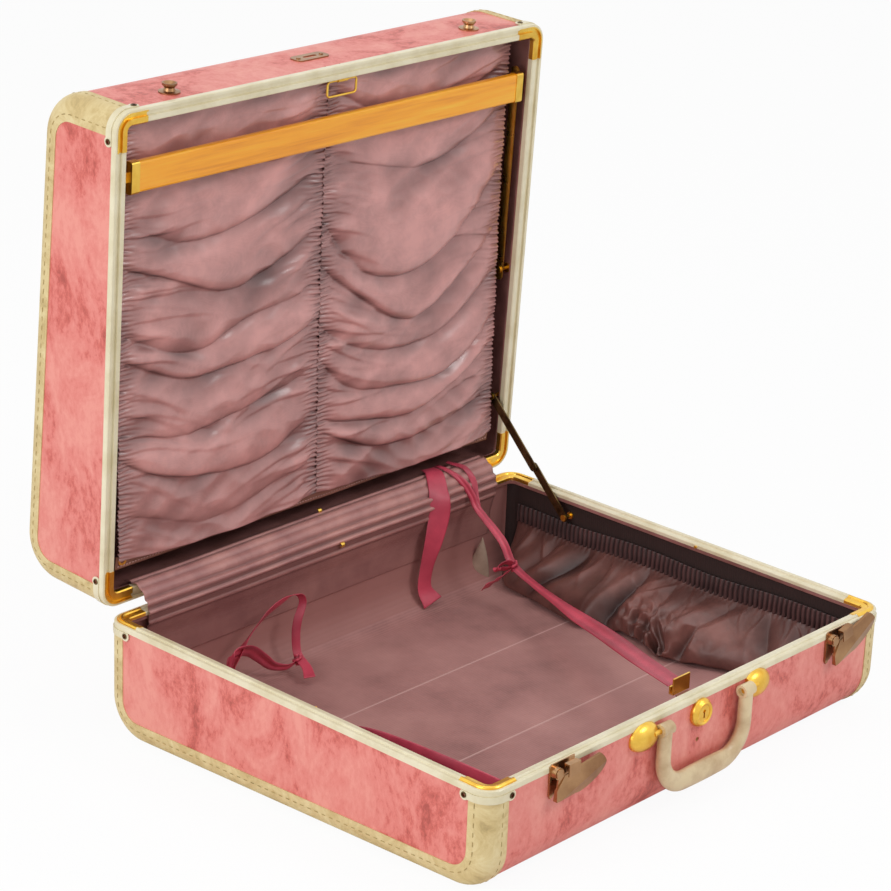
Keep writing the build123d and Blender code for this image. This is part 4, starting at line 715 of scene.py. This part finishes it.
# each ribbon has the places of its middle line, and at each of them its width and the way the width points
ribbons = {
    "thick": 0.5, "rows": 170, "columns": 15,
    "rearRibbon": {
        "route": [(160, 241, 22.8), (158, 231, 22.8), (153, 223, 19.7), (147, 214.5, 12.4), (143.5, 208.5, 3),
                  (141, 206.0, -12), (134, 205.4, -34), (127, 206.5, -60), (124, 206.0, -82), (128, 198, -96)],
        "widths": [15, 18, 20, 21, 22, 22, 19, 14, 15, 22],
        "sides": [overRail] * 4 + [(0.87, -0.4, 0)] * 4 + [(0.9, -0.3, 0.1)] * 2,
    },
    "longRibbon": {
        "route": [(172, 241, 22.8), (173, 231, 22.6), (177, 221, 18.6), (183, 212, 9), (187, 205, -3),
                  (188, 198, -14), (190, 167, -38), (190, 151, -59), (186, 120, -68), (168, 74, -66),
                  (140, 20, -58), (104, -48, -45), (62, -118, -30), (24, -181, -15)],
        "widths": [6, 6, 6, 7, 7, 7, 8, 8, 8, 11, 17, 19, 18, 16],
        "sides": [overRail] * 3 + [toCamera] * 5 + [lyingFlat] * 6,
    },
    "longRibbonStrand": {
        "route": [(188, 241, 22.8), (190, 231, 22.4), (195, 221, 18.6), (196, 212, 8), (192, 204, -5),
                  (189, 197, -15)],
        "widths": [5, 6, 6, 6, 5, 4],
        "sides": [overRail] * 3 + [toCamera] * 3,
    },
    "ribbonBow": {
        "route": [(189, 150, -57), (180, 150, -53), (170, 151, -53), (166, 151, -56), (172, 151, -58),
                  (184, 150, -60)],
        "widths": [5, 7, 8, 8, 7, 5],
        "sides": [(0.1, -0.6, 0.8)] * 6,
    },
    "ribbonTail": {
        "route": [(188, 151, -62), (176, 151, -66), (162, 151, -69), (149, 152, -71)],
        "widths": [6, 9, 11, 12],
        "sides": [(0.1, -0.6, 0.8)] * 4,
    },
    "loopRibbon": {
        "route": [(-150, 197, -92), (-139, 197, -76), (-122, 197, -56), (-100, 198, -41), (-76, 199, -33),
                  (-58, 198, -31), (-52, 197, -40), (-59, 196, -56), (-63, 194, -70), (-66, 188, -86),
                  (-70, 172, -93), (-78, 160, -96)],
        "widths": [11, 13, 13, 11, 8, 7, 7, 8, 8, 8, 9, 11],
        "sides": [(0.45, -0.3, 0.8)] * 5 + [(0.66, -0.72, 0.1)] * 7,
    },
    "loopBundle": {
        "route": [(-150, 192, -76), (-142, 193, -63), (-124, 193, -66), (-108, 192, -78), (-96, 190, -89),
                  (-82, 186, -93), (-69, 186, -91)],
        "widths": [8, 12, 13, 12, 10, 7, 6],
        "sides": [(0.3, -0.4, 0.87)] * 7,
    },
    "frontRibbon": {
        "route": [(-258.6, 8, -32), (-256, -8, -30), (-248, -30, -24), (-241, -66, -17), (-239, -110, -13),
                  (-238, -150, -12), (-235, -182, -13), (-231, -204, -15)],
        "widths": [14, 14, 15, 16, 16, 16, 16, 15],
        "sides": [(0.05, 0.1, 1.0)] + [(0.2, 0.2, 0.95)] * 7,
    },
}


def ribbonStrip(name, nodes, body, wave=0.3, fold=0.0):
    # a smooth middle line through the route, with the width laid across it.
    # fold lifts the middle of the width, as where a ribbon is doubled along itself
    path, count = ribbons[name], ribbons["rows"]
    line = alongPath(np.column_stack([path["route"], path["widths"], path["sides"]]), count)
    centre, width, across = line[:, :3], line[:, 3], line[:, 4:7]
    tangent = np.gradient(centre, axis=0)
    tangent /= np.linalg.norm(tangent, axis=1)[:, None]
    across = across - tangent * (across * tangent).sum(axis=1)[:, None]
    across /= np.linalg.norm(across, axis=1)[:, None]
    face = np.cross(across, tangent)
    t = np.linspace(-0.5, 0.5, ribbons["columns"])
    T, I = np.meshgrid(t, np.arange(count), indexing="xy")
    curl = wave * (4 * T ** 2 - 0.3) * np.sin(I / 9.0) * 2
    curl += fold * np.cos(T * np.pi * 3) * (0.6 + 0.4 * np.sin(I / 14))
    points = (centre[:, None, :] + across[:, None, :] * (T * width[:, None])[..., None]
              + face[:, None, :] * curl[..., None])
    step = np.concatenate([[0], np.cumsum(np.linalg.norm(np.diff(centre, axis=0), axis=1))])
    uv = np.stack([T * width[:, None], step[:, None] + 0 * T], axis=-1) / 1000
    # painted shade: the ribbon is drawn a little toward its shade tone, more in the valleys of a doubled ribbon,
    # waxing and waning along its length
    foldShading = 0.80 + 0.20 * np.cos(T * np.pi * 3) * (fold > 0) + 0.12 * np.sin(I / 11.0)
    mesh = gridMesh(name, baseToWorld(points), uv, foldShading)
    piece = addPiece(name, mesh, ribbonSatin, body, (), ribbons["thick"])
    if nodes:
        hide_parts(*nodes)
    print(name, "length mm", round(step[-1], 1), "mean width", round(float(width.mean()), 1),
          "area m2", round(clothArea(piece), 5))
    return piece


def ribbonKnot(name, centre, radius, body):
    # two turns of ribbon drawn tight: a ball with a spiral groove
    a = np.linspace(0, 2 * np.pi, 30, endpoint=False)
    b = np.linspace(0.05, np.pi - 0.05, 20)
    B, A = np.meshgrid(b, a, indexing="ij")
    swell = radius * (1 + 0.22 * np.sin(2 * A + 5 * B) + 0.08 * np.sin(5 * A - 3 * B))
    points = np.array(centre) + np.stack([swell * np.sin(B) * np.cos(A), swell * np.sin(B) * np.sin(A),
                                          1.15 * swell * np.cos(B)], axis=-1)
    # painted shade along the spiral groove, the turns beside it at the ribbon's own colour
    mesh = gridMesh(name, baseToWorld(points), None, 0.65 + 0.45 * np.sin(2 * A + 5 * B), True)
    return addPiece(name, mesh, ribbonSatin, body)


rearRibbon = ribbonStrip("rearRibbon", ("ribbon_rear",), None)
longRibbon = ribbonStrip("longRibbon", ("ribbon_long",), None, fold=0.5)
rightStrand = ribbonStrip("longRibbonStrand", (), None)
bowLoop = ribbonStrip("ribbonBow", (), "base")
bowTail = ribbonStrip("ribbonTail", (), "base")
longKnot = ribbonKnot("ribbonKnot", (190, 150.5, -59.5), 4.6, "base")
for strand in (rearRibbon, longRibbon, rightStrand):
    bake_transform(strand)
loopRibbon = ribbonStrip("loopRibbon", ("ribbon_loop",), "base")
loopBundle = ribbonStrip("loopBundle", (), "base", fold=0.9)
loopKnot = ribbonKnot("loopKnot", (-68, 186, -90), 4.2, "base")
frontRibbon = ribbonStrip("frontRibbon", ("ribbon_front",), "base")
print("ribbons laid")

# ---- stitching along the bindings ----
stitch = {
    "pitch": 8.5, "length": 5.2, "width": 0.9, "proud": 0.35, "endInset": 15.5, "bandInset": 17.5, "margin": 3.0,
}


def stitchRow(name, flip, side, onEnd, body, toWorld):
    # the row follows the tapered profile with round corners; flip turns the base's row into the lid's
    inset = stitch["endInset"] if onEnd else 0.0
    halfY = case["depth"] / 2 - inset
    slope = math.tan(tilt)
    radius = case["profileCorner"] - inset
    lowFront = -(meanHeight - (halfY - radius) * slope) + inset
    lowRear = -(meanHeight + (halfY - radius) * slope) + inset
    turnA = np.linspace(np.pi, 1.5 * np.pi, 12)
    turnB = np.linspace(1.5 * np.pi, 2 * np.pi, 12)
    outline = np.concatenate([
        [[-halfY, -case["rim"]]],
        np.stack([-halfY + radius + radius * np.cos(turnA), lowFront + radius + radius * np.sin(turnA)], 1),
        np.stack([halfY - radius + radius * np.cos(turnB), lowRear + radius + radius * np.sin(turnB)], 1),
        [[halfY, -case["rim"]]]])
    steps = np.concatenate([[0], np.cumsum(np.linalg.norm(np.diff(outline, axis=0), axis=1))])
    places = np.arange(stitch["margin"], steps[-1] - stitch["margin"], stitch["pitch"])
    y = np.interp(places, steps, outline[:, 0])
    z = np.interp(places, steps, outline[:, 1])
    dy = np.interp(places + 0.5, steps, outline[:, 0]) - y
    dz = np.interp(places + 0.5, steps, outline[:, 1]) - z
    run = np.hypot(dy, dz)
    along = np.stack([0 * y, dy / run, dz / run], 1)
    if onEnd:
        normal = np.tile([side, 0.0, 0.0], (len(y), 1))
        x = side * case["width"] / 2
    else:
        normal = np.stack([0 * y, dz / run, -dy / run], 1)
        x = side * (case["width"] / 2 - stitch["bandInset"])
    centre = np.stack([x + 0 * y, y, z], 1)
    centre[:, 2] *= flip
    along[:, 2] *= flip
    normal[:, 2] *= flip
    size = (stitch["length"], stitch["width"], stitch["proud"])
    return lozenges(name, centre, along, normal, size, stitchThread, body, toWorld)


for halfName, flip, toWorld in (("base", 1, baseToWorld), ("lid", -1, lidToWorld)):
    for sideName, side in (("Left", -1), ("Right", 1)):
        for onEnd in (True, False):
            rowName = halfName + "Stitch" + sideName + ("End" if onEnd else "Band")
            stitchRow(rowName, flip, side, onEnd, halfName, toWorld)
print("stitched")

# ---- stage, light and camera ----
studio = {"half": 9, "paper": "#F4F4F4", "glow": 0.94}
reach = studio["half"]
floorMesh = bpy.data.meshes.new("studioFloor")
floorMesh.from_pydata([(-reach, -reach, 0), (reach, -reach, 0), (reach, reach, 0), (-reach, reach, 0)],
                      [], [(0, 1, 2, 3)])
floor = bpy.data.objects.new("studioFloor", floorMesh)
bpy.context.scene.collection.objects.link(floor)
paper, paperTree, paperShader = newMaterial("white studio paper")
# lit paper for the object; mostly overexposed to the camera, as a product photo's backdrop is
setInputs(paperTree, paperShader,
          {"Base Color": hexColour(studio["paper"]), "Roughness": 0.9, "Specular IOR Level": 0.0})
paperGlow = addNode(paperTree, "Emission", {"Color": (1, 1, 1, 1), "Strength": 1.0})
paperRays = addNode(paperTree, "LightPath")
paperShare = addNode(paperTree, "Math", {0: paperRays.outputs["Is Camera Ray"], 1: studio["glow"]},
                     operation="MULTIPLY")
paperMix = addNode(paperTree, "MixShader",
                   {0: paperShare.outputs[0], 1: paperShader.outputs[0], 2: paperGlow.outputs[0]})
paperTree.links.new(paperMix.outputs[0], paperTree.nodes["Material Output"].inputs["Surface"])
floorMesh.materials.append(paper)

world = bpy.data.worlds.new("studio")
bpy.context.scene.world = world
world.use_nodes = True
worldTree = world.node_tree
background = worldTree.nodes["Background"]
light = {
    "world": 0.52,
    # soft boxes: (place and aim in metres, side in metres, power in watts)
    "boxes": {"leftBox": ((-2.5, 0.1, 1.3), (0, 0, 0.15), 1.4, 25.0),
              "topBox": ((-0.2, 0.3, 2.6), (0, 0, 0.2), 1.8, 9.0),
              "sideBox": ((0.8, -1.9, 2.0), (0, 0.1, 0.2), 0.8, 18.0)},
}
# full white to the camera and in reflections, dimmer as light on the cloth
rays = addNode(worldTree, "LightPath").outputs
seen = addNode(worldTree, "Math", {0: rays["Is Camera Ray"], 1: rays["Is Glossy Ray"]}, operation="MAXIMUM")
seen = addNode(worldTree, "Math", {0: seen.outputs[0], 1: rays["Is Transmission Ray"]}, operation="MAXIMUM")
strength = addNode(worldTree, "MapRange", {"To Min": light["world"], "To Max": 1.0, "Value": seen.outputs[0]})
setInputs(worldTree, background, {"Strength": strength.outputs["Result"], "Color": (1, 1, 1, 1)})


def softBox(name, place, target, size, power):
    lamp = bpy.data.lights.new(name, "AREA")
    lamp.shape = "SQUARE"
    lamp.size = size
    lamp.energy = power
    holder = bpy.data.objects.new(name, lamp)
    holder.location = place
    holder.rotation_euler = (Vector(target) - Vector(place)).to_track_quat("-Z", "Y").to_euler()
    bpy.context.scene.collection.objects.link(holder)
    return holder


for boxName, settings in light["boxes"].items():
    softBox(boxName, *settings)

# the camera's angles in degrees; shift says where the aim lies from it, in mm: rightward, upward, ahead
shot = {
    "focalPixels": 2983.3, "framePixels": 891, "sensor": 36.0, "azimuth": -47.483, "elevation": 19.69,
    "roll": 0.764, "aim": (0, 0, 100), "shift": (46.876, -151.28, 2654.8),
}
azimuth, elevation, roll = (math.radians(shot[k]) for k in ("azimuth", "elevation", "roll"))
backward = Vector((math.sin(azimuth) * math.cos(elevation), -math.cos(azimuth) * math.cos(elevation),
                   math.sin(elevation)))
sideways = Vector((0, 0, 1)).cross(backward).normalized()
upward = backward.cross(sideways)
right = math.cos(roll) * sideways + math.sin(roll) * upward
top = -math.sin(roll) * sideways + math.cos(roll) * upward
shiftX, shiftY, distance = shot["shift"]
place = Vector(shot["aim"]) - shiftX * right - shiftY * top + distance * backward
cameraData = bpy.data.cameras.new("camera")
cameraData.sensor_width = shot["sensor"]
cameraData.lens = shot["sensor"] * shot["focalPixels"] / shot["framePixels"]
cameraData.clip_end = 50
camera = bpy.data.objects.new("camera", cameraData)
camera.matrix_world = Matrix((
    (right.x, top.x, backward.x, place.x / 1000), (right.y, top.y, backward.y, place.y / 1000),
    (right.z, top.z, backward.z, place.z / 1000), (0, 0, 0, 1)))
bpy.context.scene.collection.objects.link(camera)
bpy.context.scene.camera = camera
bpy.context.scene.view_settings.view_transform = "Standard"
